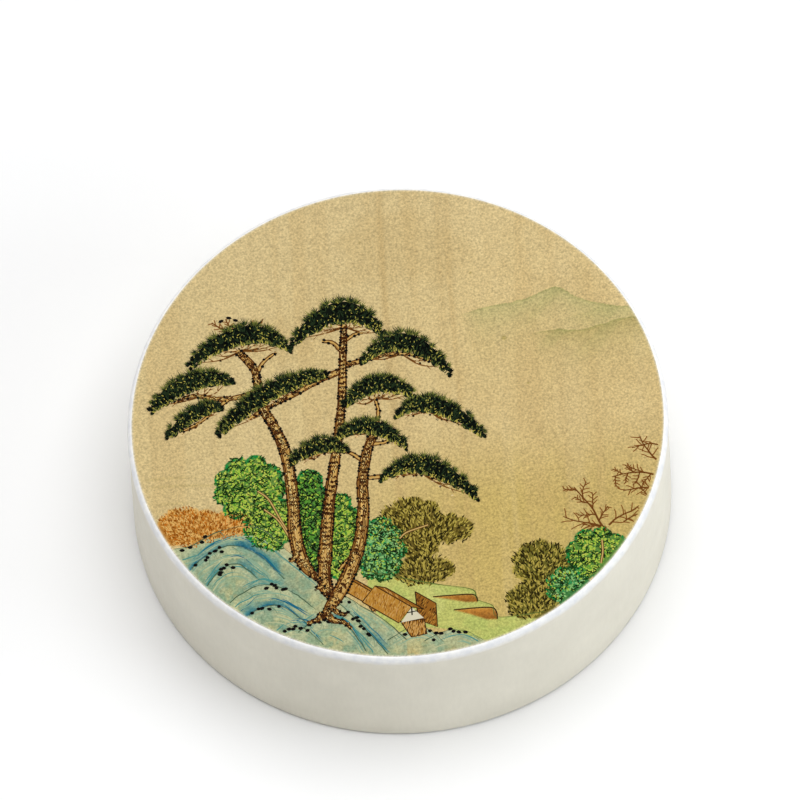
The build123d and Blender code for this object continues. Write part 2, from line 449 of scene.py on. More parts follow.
def insert_silk():
    """Satin laid over the collar and tucked down into the pocket, gathered where it turns."""
    low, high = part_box("insert_silk")
    wall = pocket_radius(SILK)
    turn, corner, slack = 0.9 * MM, 1.0 * MM, 0.06 * MM
    pleats, ripples = gathers(11), gathers(23)
    rings = []
    for share in np.linspace(0, 1, 10):
        r = high.x - share * (high.x - wall - turn)
        sag = 0.1 * MM * ripples * math.sin(math.pi * min(share * 1.2, 1))
        rings.append(ring(r, high.z - 2 * slack * abs(share - 0.5) + np.minimum(sag, 0)))
    for t in np.radians(np.linspace(0, 90, 8)):
        r = wall + turn - turn * math.sin(t) + 0.05 * MM * pleats * math.sin(t)
        rings.append(ring(r, high.z - slack - turn * (1 - math.cos(t))))
    floor = low.z + SILK
    drop = np.linspace(high.z - turn - slack, floor + corner, 16)[1:]
    for i, z in enumerate(drop):
        share = i / (len(drop) - 1)
        deep = 0.16 * MM * math.sin(math.pi * (0.15 + 0.85 * share)) ** 0.7
        rings.append(ring(wall + deep * pleats + 0.05 * MM, z))
    for t in np.radians(np.linspace(0, 90, 7)[1:]):
        rings.append(ring(wall - corner * (1 - math.cos(t)), floor + corner * (1 - math.sin(t))))
    for share in np.linspace(0.9, MIDDLE, 8):
        rings.append(ring((wall - corner) * share, floor + 0.02 * MM * ripples * share))
    return woven("pocket_satin", rings, middle_last=True)


def collar_foam():
    """The foam ring round the pocket, with softened edges."""
    low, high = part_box("insert_collar_foam")
    wall = pocket_radius(0)
    soft = 0.4 * MM
    rings = [ring(wall, low.z), ring(wall, high.z - soft)]
    rings += [ring(wall + soft * 0.3, high.z - soft * 0.3), ring(wall + soft, high.z)]
    rings += [ring(high.x - soft, high.z), ring(high.x, high.z - soft), ring(high.x, low.z)]
    return loft("collar_foam_ring", rings, FOAM, closed=True)


def foam_disc(node, name, soft):
    """A foam disc with softly pressed edges, in that node's space."""
    low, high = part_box(node)
    half = (high.z - low.z) / 2
    edge = quarter(high.x - soft, low.z + half, soft, half, -90, 90, 12)
    profile = [(MIDDLE * high.x, low.z), *edge, (MIDDLE * high.x, high.z)]
    return loft(name, [ring(r, z) for r, z in profile], FOAM, first_cap=True, last_cap=True)


def pad_silk():
    """Satin stretched over the lid's pad, crowned by the foam and gathered behind it."""
    low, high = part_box("lid_pad_silk")
    bulge, turn, slack = 0.18 * MM, 0.8 * MM, 0.06 * MM
    puff = 0.05 * MM * gathers(31)
    rings = []
    for share in np.linspace(MIDDLE, 0.94, 14):
        rings.append(ring(high.x * share, low.z + bulge * share**2))
    for t in np.radians(np.linspace(0, 90, 7)):
        r = high.x - turn + turn * math.sin(t) - slack + puff * math.sin(t)
        rings.append(ring(r, low.z + bulge + turn * (1 - math.cos(t))))
    rings.append(ring(high.x - slack + puff, high.z - 0.3 * MM))
    rings.append(ring(high.x - 0.25 * MM, high.z - 0.03 * MM))
    for share in (0.3, 0.7, 1.0):
        rings.append(ring(high.x - 6 * MM * share, high.z - 0.04 * MM))
    return woven("pad_satin", rings)


def add(piece, body, slot, *nodes):
    """Puts a piece on its body and in place of CAD nodes; slot is not used."""
    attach(piece, body)
    if nodes:
        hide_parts(*nodes)
    return piece


add(lid_wrap(), "lid", "ivory_wrap", "lid_wrap")
add(base_wrap(), "base", "ivory_wrap", "base_wrap")
pocket = add(insert_silk(), "base", "silk", "insert_silk")
add(collar_foam(), "base", "foam", "insert_collar_foam")
floor_foam = foam_disc("insert_floor_foam", "pocket_floor_foam", 0.5 * MM)
add(floor_foam, "base", "foam", "insert_floor_foam")
pad_foam = foam_disc("lid_pad_foam", "pad_foam_disc", 0.5 * MM)
add(pad_foam, "lid", "foam", "lid_pad_foam")
pad_cover = add(pad_silk(), "lid", "silk", "lid_pad_silk")


# ----------------------------------------------------------------------- the ink cake


def ink_material():
    """Pressed soot and glue: near-black, with a soft lustre, and gold leaf where gilt is 1."""
    s = Shader("pressed_ink", (26, 26, 29), 0.42, Specular_IOR_Level=0.45)
    gilt = s.node("Attribute", attribute_name="gilt").outputs["Fac"]
    worn = s.remap(s.noise(0.5 * MM, 4), 0.36, 0.5)
    leaf = s.times(gilt, worn)
    soot = s.blend(s.patches(4 * MM, 5), rgba((20, 20, 23)), rgba((40, 39, 42)))
    gold = s.blend(s.patches(1 * MM, 3), rgba((214, 164, 70)), rgba((240, 200, 112)))
    s.paint(s.blend(leaf, soot, gold))
    s.drive("Metallic", s.times(leaf, 0.9))
    s.drive("Roughness", s.patches(0.8 * MM, 4, 0.34, 0.5))
    s.bump(s.noise(0.3 * MM, 5), 0.02 * MM)
    return s.material


def disc_grid(count):
    """Points that fill the unit disc evenly, count on a side, with their quads."""
    side = np.linspace(-1, 1, count)
    a, b = np.meshgrid(side, side)
    wide = np.abs(a) > np.abs(b)
    safe_a, safe_b = np.where(a == 0, 1e-9, a), np.where(b == 0, 1e-9, b)
    radius = np.where(wide, a, b)
    angle = np.where(wide, math.pi / 4 * b / safe_a, math.pi / 2 - math.pi / 4 * a / safe_b)
    points = np.stack([radius * np.cos(angle), radius * np.sin(angle)], -1).reshape(-1, 2)
    index = np.arange(count * count).reshape(count, count)
    quads = np.stack([index[:-1, :-1], index[:-1, 1:], index[1:, 1:], index[1:, :-1]], -1)
    rim = np.concatenate([index[0, :-1], index[:-1, -1], index[-1, :0:-1], index[:0:-1, 0]])
    return points, quads.reshape(-1, 4), rim


def curve(points, count=24):
    """A smooth line through these points."""
    knots = np.asarray(points, float)
    knots = np.vstack([2 * knots[0] - knots[1], knots, 2 * knots[-1] - knots[-2]])
    made = []
    for i in range(1, len(knots) - 2):
        t = np.linspace(0, 1, count, endpoint=i == len(knots) - 3)[:, None]
        a, b, c, d = knots[i - 1 : i + 3]
        square, cube = 2 * a - 5 * b + 4 * c - d, 3 * b - 3 * c + d - a
        made.append(0.5 * (2 * b + (c - a) * t + square * t**2 + cube * t**3))
    return np.vstack(made)


def path_distance(where, path):
    """How far each point is from a line, and how far along it, from 0 to 1, the nearest point is."""
    best = np.full(len(where), np.inf)
    along = np.zeros(len(where))
    for i in range(len(path) - 1):
        a, step = path[i], path[i + 1] - path[i]
        t = np.clip((where - a) @ step / max(step @ step, 1e-12), 0, 1)
        away = np.linalg.norm(where - a - t[:, None] * step, axis=1)
        nearer = away < best
        best[nearer] = away[nearer]
        along[nearer] = (i + t[nearer]) / (len(path) - 1)
    return best, along


def blossom(where, centre, size, turned):
    """Height from 0 to 1 of a five-petalled flower."""
    offset = where - centre
    r = far_out(offset) / size
    angle = np.arctan2(offset[:, 1], offset[:, 0]) + turned
    edge = 0.62 + 0.38 * np.abs(np.cos(2.5 * angle))
    petal = ramp(r, edge, edge * 0.82)
    vein = 1 - 0.45 * ramp(np.abs(np.sin(2.5 * angle)), 0.93, 1.0) * ramp(r, 0.2, 0.35)
    heart = ramp(r, 0.2, 0.14)
    dish = 0.55 + 0.45 * ramp(r, 0.15, 0.8)
    return np.maximum(petal * vein * dish, heart)


def cake_relief(where):
    """Relief height and gilding, each 0 to 1, of a blossoming plum branch on the unit disc."""
    height = np.zeros(len(where))
    gilt = np.zeros(len(where))
    branches = [
        ([(-0.72, -0.5), (-0.42, -0.36), (-0.16, -0.3), (0.08, -0.04), (0.2, 0.22), (0.44, 0.48)], 0.07),
        ([(-0.3, -0.33), (-0.36, -0.02), (-0.22, 0.24), (-0.3, 0.56)], 0.042),
        ([(0.0, -0.14), (0.3, -0.22), (0.52, -0.1), (0.7, -0.2)], 0.036),
        ([(0.14, 0.1), (0.0, 0.34), (0.06, 0.6)], 0.026),
    ]
    for points, width in branches:
        away, along = path_distance(where, curve(points, 10))
        thick = width * (1 - 0.72 * along) * (1 + 0.18 * smooth_noise(where, 0.07, 5))
        height = np.maximum(height, 0.75 * np.sqrt(np.clip(1 - (away / thick) ** 2, 0, 1)))
    flowers = [
        (-0.3, 0.02, 0.17), (-0.26, 0.56, 0.15), (0.08, 0.62, 0.13), (0.46, 0.48, 0.17),
        (0.16, 0.18, 0.15), (0.54, -0.1, 0.16), (-0.1, -0.3, 0.14), (-0.58, -0.42, 0.12),
    ]
    for i, (x, y, size) in enumerate(flowers):
        raised = blossom(where, (x, y), size, 0.7 * i)
        height = np.maximum(height, raised)
        gilt = np.maximum(gilt, ramp(raised, 0.25, 0.4))
    buds = [(0.26, 0.4), (0.7, -0.22), (0.34, -0.3), (-0.44, 0.26), (-0.14, 0.4), (0.3, 0.02)]
    bud_r = 0.045
    for bud in buds:
        away = far_out(where - bud)
        height = np.maximum(height, np.sqrt(np.clip(1 - (away / bud_r) ** 2, 0, 1)))
        gilt = np.maximum(gilt, ramp(away, bud_r, bud_r - 0.007))
    line = ramp(np.abs(far_out(where) - 0.93), 0.022, 0.012)
    return np.maximum(height, line * 0.7), np.maximum(gilt, line)


def ink_cake():
    """The moulded cake: a plum branch in low relief inside a raised border on its top."""
    border, recess, round_r = 2.6 * MM, 0.5 * MM, 0.8 * MM
    relief, slope = 0.42 * MM, 0.35 * MM
    floor_r, top_z, foot_z = CAKE_R - border, CAKE_HIGH.z, CAKE_LOW.z
    points, quads, rim = disc_grid(300)
    height, gilt = cake_relief(points)
    top = np.column_stack([points * (floor_r - slope), top_z - recess + relief * height])
    top[rim, 2] = top_z - recess
    profile = [(floor_r - slope * 0.3, top_z - recess * 0.3), (floor_r, top_z - 0.04 * MM)]
    profile += [(floor_r + 0.15 * MM, top_z)]
    profile += quarter(CAKE_R - round_r, top_z - round_r, round_r, round_r, 90, 0)
    profile += [(CAKE_R, z) for z in np.linspace(top_z - 1.5 * MM, foot_z + 1.5 * MM, 8)]
    profile += quarter(CAKE_R - round_r, foot_z + round_r, round_r, round_r, 0, -90)
    profile += [(floor_r, foot_z)]
    profile += [(floor_r - slope, foot_z + recess), (MIDDLE * CAKE_R, foot_z + recess)]
    around = np.arctan2(points[rim, 1], points[rim, 0])
    verts, faces, gilding = [top], [quads], [gilt]
    previous, total = rim, len(points)
    for r, z in profile:
        verts.append(ring(r, z, around))
        gilding.append(np.zeros(len(rim)))
        here = np.arange(total, total + len(rim))
        faces.append(np.stack([previous, here, np.roll(here, -1), np.roll(previous, -1)], 1))
        previous, total = here, total + len(rim)
    faces = np.concatenate(faces).tolist() + [previous.tolist()]
    piece = new_piece("ink_cake_moulded", np.concatenate(verts), faces, [ink_material()])
    layer = piece.data.attributes.new("gilt", "FLOAT", "POINT")
    layer.data.foreach_set("value", np.concatenate(gilding).astype(np.float32))
    return piece


add(ink_cake(), "cake", "ink", "ink_cake")


# ------------------------------------------------------------------ picture: the washes

PICTURE_TOP = PICTURE_HIGH.z - 0.12 * MM  # leaves room for the layers of strokes
WASH_LEVEL = 0.94  # light of the washes, as a share of what their colours say
STROKE_LEVEL = 0.97  # display values of the strokes, as a share of what PIGMENTS says


def fractal(where, size, seed):
    """Cloudy noise from about -1 to 1, its largest features about that size."""
    layers = [smooth_noise(where, size / 2**k, seed + 17 * k) / 2**k for k in range(5)]
    return sum(layers) / 1.2


def level(u, path):
    """The height v of a path that runs from left to right, at each u."""
    return np.interp(u, path[:, 0], path[:, 1])


class Wash:
    """Colours laid over each other on the points of the picture, in display values."""

    def __init__(self, where, ground):
        self.where = where
        self.colour = np.tile(np.asarray(ground, float), (len(where), 1))

    def near(self, low, high):
        """Which points lie in this box."""
        inside = (self.where >= np.asarray(low)) & (self.where <= np.asarray(high))
        return np.nonzero(inside.all(axis=1))[0]

    def lay(self, share, colour, chosen=slice(None)):
        """Covers the chosen points with a colour, or with one colour for each."""
        under = self.colour[chosen]
        share = np.clip(share, 0, 1)[:, None]
        self.colour[chosen] = under + share * (np.asarray(colour, float) - under)


def blob(where, lobes, seed, ragged=0.16):
    """Above 0 inside a group of round lobes, with a ragged edge; about 1 deep inside."""
    value = np.full(len(where), -1.0)
    for u, v, radius in lobes:
        value = np.maximum(value, 1 - far_out(where - (u, v)) / radius)
    return value + ragged * smooth_noise(where, 0.035, seed)


def box_of(points, margin):
    """The low and high corners of a box round the points, or round the middles of lobes."""
    spots = np.asarray(points, float)[:, :2]
    return spots.min(axis=0) - margin, spots.max(axis=0) + margin


HILLS = [
    # the ridge, its colour, its depth
    ([(0.24, 0.435), (0.4, 0.475), (0.5, 0.49), (0.62, 0.535), (0.7, 0.49), (0.79, 0.45), (0.97, 0.42)],
     (188, 178, 120), 0.085),
    ([(0.5, 0.335), (0.6, 0.352), (0.72, 0.345), (0.84, 0.378), (0.92, 0.386), (1.0, 0.36)],
     (181, 163, 103), 0.06),
]

ROCKS = [
    # a ridge from left to right, with its rock below it, and how blue the hollow behind it is
    ([(-0.93, -0.49), (-0.8, -0.475), (-0.69, -0.42), (-0.55, -0.415), (-0.43, -0.535), (-0.27, -0.7),
      (-0.1, -0.84), (-0.02, -0.93)], 0.0),
    ([(-0.86, -0.64), (-0.77, -0.54), (-0.66, -0.485), (-0.56, -0.525), (-0.46, -0.64)], 1.0),
    ([(-0.77, -0.68), (-0.7, -0.59), (-0.63, -0.565), (-0.55, -0.64)], 0.5),
    ([(-0.73, -0.78), (-0.62, -0.69), (-0.52, -0.66), (-0.42, -0.71), (-0.35, -0.78)], 0.12),
    ([(-0.66, -0.84), (-0.57, -0.765), (-0.48, -0.755), (-0.38, -0.84)], 1.0),
    ([(-0.53, -0.91), (-0.46, -0.85), (-0.39, -0.86), (-0.33, -0.93)], 0.3),
    ([(-0.42, -0.87), (-0.33, -0.815), (-0.24, -0.85), (-0.17, -0.97)], 0.45),
    ([(-0.26, -0.76), (-0.18, -0.86), (-0.08, -1.0)], 0.4),
    ([(-0.09, -0.93), (-0.01, -0.885), (0.06, -0.89), (0.12, -0.95)], 0.0),
    ([(0.05, -0.94), (0.13, -0.905), (0.2, -0.91), (0.28, -0.96)], 0.0),
]

# The meadow's outline, its upper edge first, and the earth banks that step down across it
MEADOW = [(-0.15, -0.63), (0.09, -0.7), (0.235, -0.735), (0.255, -0.78), (0.31, -0.81), (0.33, -0.86),
          (0.5, -0.85), (0.36, -0.95), (0.265, -0.95), (0.15, -0.9), (0.03, -0.882), (-0.04, -0.895),
          (-0.14, -0.78)]
MEADOW_EDGE = MEADOW[:7]
BANK = np.array([(0, 0), (0.45, 0.05), (0.88, 0), (0.99, -0.4), (1, -1), (0.75, -0.95), (0.35, -0.4)])
BANKS = [
    BANK * (0.165, 0.032) + (0.09, -0.757),
    BANK * (0.16, 0.05) + (0.165, -0.818),
]


def bush(*clumps):
    """The round lobes of a bush, from the (u, v, half width, half height) of its clumps."""
    lobes = []
    for u, v, wide, tall in clumps:
        mean = (wide + tall) / 2
        for reach, size, count in ((1.0, 0.36, 9), (0.5, 0.5, 6)):
            for k in range(count):
                t = TURN * (k + rng.uniform(-0.25, 0.25)) / count
                radius = size * mean * rng.uniform(0.85, 1.15)
                across = reach * max(wide - radius, 0) * math.cos(t)
                lobes.append((u + across, v + reach * max(tall - radius, 0) * math.sin(t), radius))
    return lobes


GREEN, DEEP_GREEN, TEAL, OLIVE = "green", "deep_green", "teal", "olive"
SHRUBS = [
    (OLIVE, (110, 94, 32), bush((0.03, -0.425, 0.125, 0.1), (0.155, -0.47, 0.105, 0.065),
                                (0.05, -0.52, 0.085, 0.075))),
    (OLIVE, (116, 100, 38), bush((0.06, -0.64, 0.12, 0.065))),
    (GREEN, (98, 136, 58), bush((-0.57, -0.25, 0.14, 0.15), (-0.5, -0.39, 0.11, 0.13))),
    (DEEP_GREEN, (64, 104, 46), bush((-0.345, -0.4, 0.085, 0.22))),
    (GREEN, (88, 128, 54), bush((-0.235, -0.48, 0.08, 0.19))),
    (TEAL, (92, 142, 82), bush((-0.1, -0.54, 0.105, 0.14))),
    (OLIVE, (106, 100, 34), bush((0.5, -0.645, 0.11, 0.105))),
    (OLIVE, (108, 100, 34), bush((0.46, -0.8, 0.105, 0.085))),
    (GREEN, (92, 134, 56), bush((0.715, -0.615, 0.12, 0.115))),
    (TEAL, (58, 122, 60), bush((0.6, -0.745, 0.09, 0.085))),
]
EMBERS = bush((-0.81, -0.395, 0.13, 0.085), (-0.68, -0.395, 0.11, 0.06))


def outline_depth(where, outline):
    """Distance inside a closed outline, negative outside."""
    ring_path = np.vstack([outline, outline[:1]])
    away = path_distance(where, ring_path)[0]
    inside = np.zeros(len(where), bool)
    for a, b in zip(ring_path[:-1], ring_path[1:]):
        crosses = (a[1] > where[:, 1]) != (b[1] > where[:, 1])
        slope = (b[0] - a[0]) / (b[1] - a[1] if b[1] != a[1] else 1e-12)
        inside ^= crosses & (where[:, 0] < a[0] + slope * (where[:, 1] - a[1]))
    return np.where(inside, away, -away)


def paint_ground(wash):
    """Aged silk: painted light makes it lighter towards the right; it is warmer to the right and low down,
    with mounting creases and stains.
    """
    u, v = wash.where[:, 0], wash.where[:, 1]
    # painted light: a lighter wash towards the right, where less light falls
    wash.lay(0.85 * ramp(u, -0.1, 0.5), (217, 192, 135))
    wash.lay(ramp(v, 0.02, -0.42) * ramp(u, -0.5, 0.35), (198, 173, 102))
    wash.lay(ramp(v, 0.2, 1.0) * 0.35, (211, 190, 143))
    folds = fractal(np.stack([u * 6 + 11, v * 0.25 + 5], 1), 0.5, 41)
    wash.lay(0.28 * ramp(folds, 0.15, 0.75), (197, 168, 112))
    wash.lay(0.25 * ramp(-folds, 0.2, 0.8), (219, 198, 148))
    wash.lay(0.22 * ramp(fractal(wash.where + 7, 0.35, 47), 0.1, 0.6), (188, 160, 104))
    for crease, strength in ((-0.015, 0.22), (0.2, 0.14), (0.235, 0.2), (-0.42, 0.12), (0.62, 0.12)):
        drift = 0.004 * smooth_noise(np.stack([v * 3 + 9, v * 0 + 3], 1), 1.0, 43)
        wash.lay(strength * np.exp(-((u - crease - drift) / 0.013) ** 2), (176, 146, 92))
    for u0, v0, size in ((0.42, 0.33, 0.013), (0.5, 0.13, 0.006), (-0.1, 0.78, 0.005), (0.31, 0.62, 0.006)):
        away = far_out(wash.where - (u0, v0))
        wash.lay(0.55 * ramp(away, size, size * 0.4), (150, 134, 66))


def paint_hills(wash):
    """Far hills that fade downwards from their crests, and thin lines of mist."""
    u, v = wash.where[:, 0], wash.where[:, 1]
    for ridge, colour, depth in HILLS:
        path = curve(ridge)
        crest = level(u, path) + 0.004 * smooth_noise(wash.where, 0.03, 51)
        below = crest - v
        inside = ramp(u, path[0, 0], path[0, 0] + 0.12) * (below > 0)
        fade = np.exp(-np.maximum(below, 0) / depth)
        wash.lay(0.95 * inside * fade, colour)
        wash.lay(0.55 * inside * np.exp(-((below / 0.006) ** 2)), (150, 148, 88))
        folds = fractal(np.stack([u * 2 + below * 2, below * 0.8], 1) + 20, 0.12, 53)
        wash.lay(0.35 * inside * fade * ramp(folds, 0.1, 0.5), (160, 158, 98))
    for v0, left, right in ((-0.19, -0.98, -0.72), (-0.225, -0.96, -0.6), (-0.3, -0.93, -0.74)):
        line = np.exp(-(((v - v0 + 0.01 * np.sin(u * 9)) / 0.006) ** 2))
        wash.lay(0.3 * line * ramp(u, left, left + 0.05) * ramp(u, right, right - 0.12), (176, 158, 98))


def paint_rocks(wash):
    """Blue-green rocks: each fold is pale on its crown and blue in the hollow behind it."""
    grain = fractal(wash.where + 3, 0.09, 61)
    fine = fractal(wash.where + 5, 0.025, 67)
    for i, (ridge, blue) in enumerate(ROCKS):
        path = curve(ridge)
        chosen = wash.near((path[0, 0], -1.0), (path[-1, 0], path[:, 1].max() + 0.02))
        here = wash.where[chosen]
        crest = level(here[:, 0], path) + 0.003 * smooth_noise(here, 0.02, 70 + i)
        below = crest - here[:, 1]
        ends = ramp(here[:, 0], path[0, 0], path[0, 0] + 0.03) if i else 1.0
        sides = np.minimum(here[:, 0] - path[0, 0], path[-1, 0] - here[:, 0])
        body = (below > 0) * ends
        reach = 0.034 + 0.02 * smooth_noise(here, 0.06, 80 + i)
        hollow = np.exp(np.minimum(below, 0) / reach) * (below <= 0) * ramp(sides, 0, 0.03)
        if i:
            streaks = 0.75 + 0.5 * grain[chosen]
            wash.lay(blue * 1.05 * hollow * streaks, (80, 142, 138), chosen)
            wash.lay(blue * 1.3 * hollow**1.7 * streaks, (26, 98, 120), chosen)
        crown = 0.5 + 0.4 * grain[chosen] + 0.25 * fine[chosen]
        base = (179, 187, 147) - 14 * ramp(below, 0.02, 0.1)[:, None]
        strength = body * (ramp(below, 0.16, 0.0) if i else 0.96)
        wash.lay(strength, base - 10 * crown[:, None], chosen)
        rim = blue * body * np.exp(-np.maximum(below, 0) / 0.022)
        wash.lay(0.6 * rim * (0.8 + 0.4 * fine[chosen]), (70, 132, 134), chosen)
        cool = ramp(grain[chosen], 0.0, 0.6) * ramp(below, 0.02, 0.1) * body
        wash.lay(0.42 * cool, (116, 156, 136), chosen)
        wash.lay(0.42 * body * ramp(-grain[chosen], 0.05, 0.55), (188, 184, 130), chosen)
        wash.lay(0.4 * body * ramp(fine[chosen], 0.05, 0.5), (122, 156, 126), chosen)
        wash.lay(0.35 * body * ramp(-fine[chosen], 0.1, 0.5), (190, 192, 146), chosen)


def paint_meadow(wash):
    """The green meadow and its earth banks."""
    outline = curve(MEADOW + MEADOW[:1], 8)
    chosen = wash.near(*box_of(outline, 0.02))
    here = wash.where[chosen]
    depth = outline_depth(here, outline)
    inside = ramp(depth, -0.003, 0.004)
    wash.lay(inside, (188, 190, 104), chosen)
    wash.lay(0.5 * inside * ramp(fractal(here + 2, 0.1, 91), 0, 0.6), (199, 200, 120), chosen)
    wash.lay(0.45 * inside * ramp(fractal(here + 9, 0.07, 93), 0.05, 0.6), (170, 186, 98), chosen)
    wash.lay(0.5 * inside * ramp(depth, 0.02, 0.0), (166, 184, 92), chosen)
    for outline in BANKS:
        near = wash.near(*box_of(outline, 0.02))
        there = wash.where[near]
        depth = outline_depth(there, outline)
        inside = ramp(depth, -0.003, 0.003)
        low = ramp(there[:, 1], outline[:, 1].max(), outline[:, 1].min())
        wash.lay(inside, (190, 128, 50), near)
        wash.lay(inside * low * 0.85, (132, 82, 24), near)
        wash.lay(0.5 * inside * ramp(fractal(there, 0.03, 95), 0, 0.5), (158, 98, 32), near)


def paint_shrubs(wash):
    """The ground tones of the bushes, with a green rim round the leafy ones."""
    for i, (kind, colour, lobes) in enumerate(SHRUBS):
        chosen = wash.near(*box_of(lobes, 0.14))
        here = wash.where[chosen]
        value = blob(here, lobes, 100 + i, 0.2 if kind == OLIVE else 0.14)
        soft = 0.22 if kind == OLIVE else 0.05
        wash.lay(ramp(value, 0, soft), colour, chosen)
        patches = ramp(fractal(here + i, 0.06, 120 + i), 0.0, 0.6)
        wash.lay(0.4 * ramp(value, 0, soft) * patches, np.array(colour) * 0.72, chosen)
        if kind != OLIVE:
            rim = ramp(value, 0.0, 0.05) * ramp(value, 0.26, 0.1)
            wash.lay(0.8 * rim, (26, 118, 56), chosen)
    chosen = wash.near(*box_of(EMBERS, 0.12))
    value = blob(wash.where[chosen], EMBERS, 131, 0.3)
    wash.lay(0.9 * ramp(value, -0.05, 0.3), (192, 134, 56), chosen)
    wash.lay(0.55 * ramp(value, 0.2, 0.7), (172, 110, 38), chosen)


def picture_material():
    """Old silk under mineral colours: its plain weave, flecks, slubs and worn places."""
    s = Shader("painted_silk", (206, 183, 131), 0.8, Specular_IOR_Level=0.12)
    wash = s.node("Attribute", attribute_name="wash").outputs["Color"]
    fleck = s.remap(s.noise(0.3 * MM, 3, rough=0.75), 0.32, 0.68, 0.66, 1.3)

    def threads(stretch):
        return s.remap(s.noise(0.16 * MM, 2, stretch), 0.3, 0.7, 0.965, 1.03)

    weft, warp = threads((0.12, 1, 1)), threads((1, 0.12, 1))
    value = s.times(fleck, s.times(weft, warp))
    grey = s.node("CombineColor", {0: value, 1: value, 2: value}).outputs[0]
    grained = s.blend(1.0, wash, grey, "MULTIPLY")
    warm = s.remap(s.noise(0.6 * MM, 4, rough=0.7), 0.5, 0.75)
    s.paint(s.blend(s.times(warm, 0.16), grained, rgba((176, 140, 84))))
    s.drive("Roughness", s.patches(0.5 * MM, 3, 0.72, 0.88))
    s.bump(s.plus(weft, warp), 0.01 * MM)
    return s.material


def picture():
    """The painted silk disc, with the cut edge of the sheet it is mounted on."""
    points, quads, rim = disc_grid(420)
    wash = Wash(points, (210, 187, 133))
    for layer in (paint_ground, paint_hills, paint_rocks, paint_meadow, paint_shrubs):
        layer(wash)
    edge = ramp(far_out(points), 0.9935, 0.9985)
    wash.lay(edge * 0.9, (236, 228, 206))
    top = np.column_stack([points * PICTURE_R, np.full(len(points), PICTURE_TOP)])
    foot = top[rim] * (1, 1, 0) + (0, 0, PICTURE_LOW.z)
    here = np.arange(len(points), len(points) + len(rim))
    skirt = np.stack([rim, here, np.roll(here, -1), np.roll(rim, -1)], 1)
    faces = np.concatenate([quads, skirt]).tolist()
    piece = new_piece("picture", np.concatenate([top, foot]), faces, [picture_material()])
    colours = np.concatenate([wash.colour, np.tile((238, 231, 212), (len(rim), 1))])
    rgb = linear(np.clip(colours, 0, 255)) * WASH_LEVEL
    rgb_and_alpha = np.column_stack([rgb, np.ones(len(rgb))]).astype(np.float32)
    layer = piece.data.color_attributes.new("wash", "FLOAT_COLOR", "POINT")
    layer.data.foreach_set("color", rgb_and_alpha.ravel())
    return piece


add(picture(), "lid", "picture", "picture_disc")


# ----------------------------------------------------------------- picture: the strokes

# Layers 0 to 29 hold the rocks, shrubs and bare trees, 10 to 52 the huts, 40 to 59 the wood of
# the pines and 60 to 84 their needles.
STEP = 0.0012 * MM  # from one layer of strokes to the next
LOWEST = 4  # steps from the silk to the first layer
MARGIN, LIMIT = 0.985, 0.992  # a stroke starts inside the first radius, and stops at the second
PIGMENTS = {
    "needle_black": (3, 6, 5),
    "needle_deep": (13, 19, 11),
    "needle_mid": (33, 48, 26),
    "needle_soft": (112, 116, 52),
    "needle_gold": (184, 172, 78),
    "bark_ink": (40, 22, 10),
    "bark_dark": (80, 42, 13),
    "bark_brown": (156, 111, 50),
    "bark_ochre": (202, 162, 90),
    "bark_pale": (226, 200, 132),
    "branch_brown": (116, 72, 26),
    "branch_pale": (196, 164, 98),
    "ink": (14, 13, 12),
    "rock_line": (74, 96, 70),
    "rock_soft": (112, 136, 108),
    "rock_blue": (24, 100, 124),
    "rock_teal": (78, 140, 132),
    "rock_mist": (138, 168, 140),
    "rock_cream": (184, 187, 144),
    "lichen": (222, 198, 146),
    "leaf_ink": (12, 24, 8),
    "leaf_deep": (28, 64, 22),
    "leaf_emerald": (24, 136, 62),
    "leaf_green": (90, 150, 50),
    "leaf_lime": (168, 194, 70),
    "leaf_gold": (190, 196, 84),
    "leaf_teal": (44, 146, 86),
    "leaf_mint": (140, 188, 116),
    "olive_ink": (40, 34, 8),
    "olive_dark": (76, 64, 14),
    "olive_mid": (110, 98, 28),
    "olive_pale": (176, 158, 72),
    "ember_dark": (140, 76, 10),
    "ember_mid": (192, 116, 32),
    "ember_pale": (220, 174, 98),
    "roof_ink": (58, 34, 14),
    "roof_dark": (104, 64, 20),
    "roof_brown": (146, 94, 32),
    "roof_ochre": (182, 130, 52),
    "roof_pale": (200, 158, 92),
    "plaster": (214, 206, 178),
    "bare_brown": (110, 64, 22),
    "bare_pale": (130, 82, 34),
    "meadow_line": (92, 108, 48),
}
pigment_names = list(PIGMENTS)
pigments = [
    Shader("pigment_" + name, np.array(colour) * STROKE_LEVEL, 0.85, Specular_IOR_Level=0.05).material
    for name, colour in PIGMENTS.items()
]


def unit(vector):
    """The vector, made one long."""
    return vector / max(math.hypot(*vector), 1e-9)


def sideways(vector):
    """The vector turned a quarter turn to the left."""
    return np.array([-vector[1], vector[0]])


def toward(angle):
    """The unit vector that points at this angle."""
    return np.array([math.cos(angle), math.sin(angle)])


def bearing(vector):
    """The angle at which a vector points."""
    return math.atan2(vector[1], vector[0])


def step_lengths(path):
    return far_out(np.diff(path, axis=0))


def normals(path):
    """Unit vectors that point to the left all along a path."""
    along = np.gradient(path, axis=0)
    along /= np.maximum(far_out(along), 1e-9)[:, None]
    return np.stack([-along[:, 1], along[:, 0]], 1)


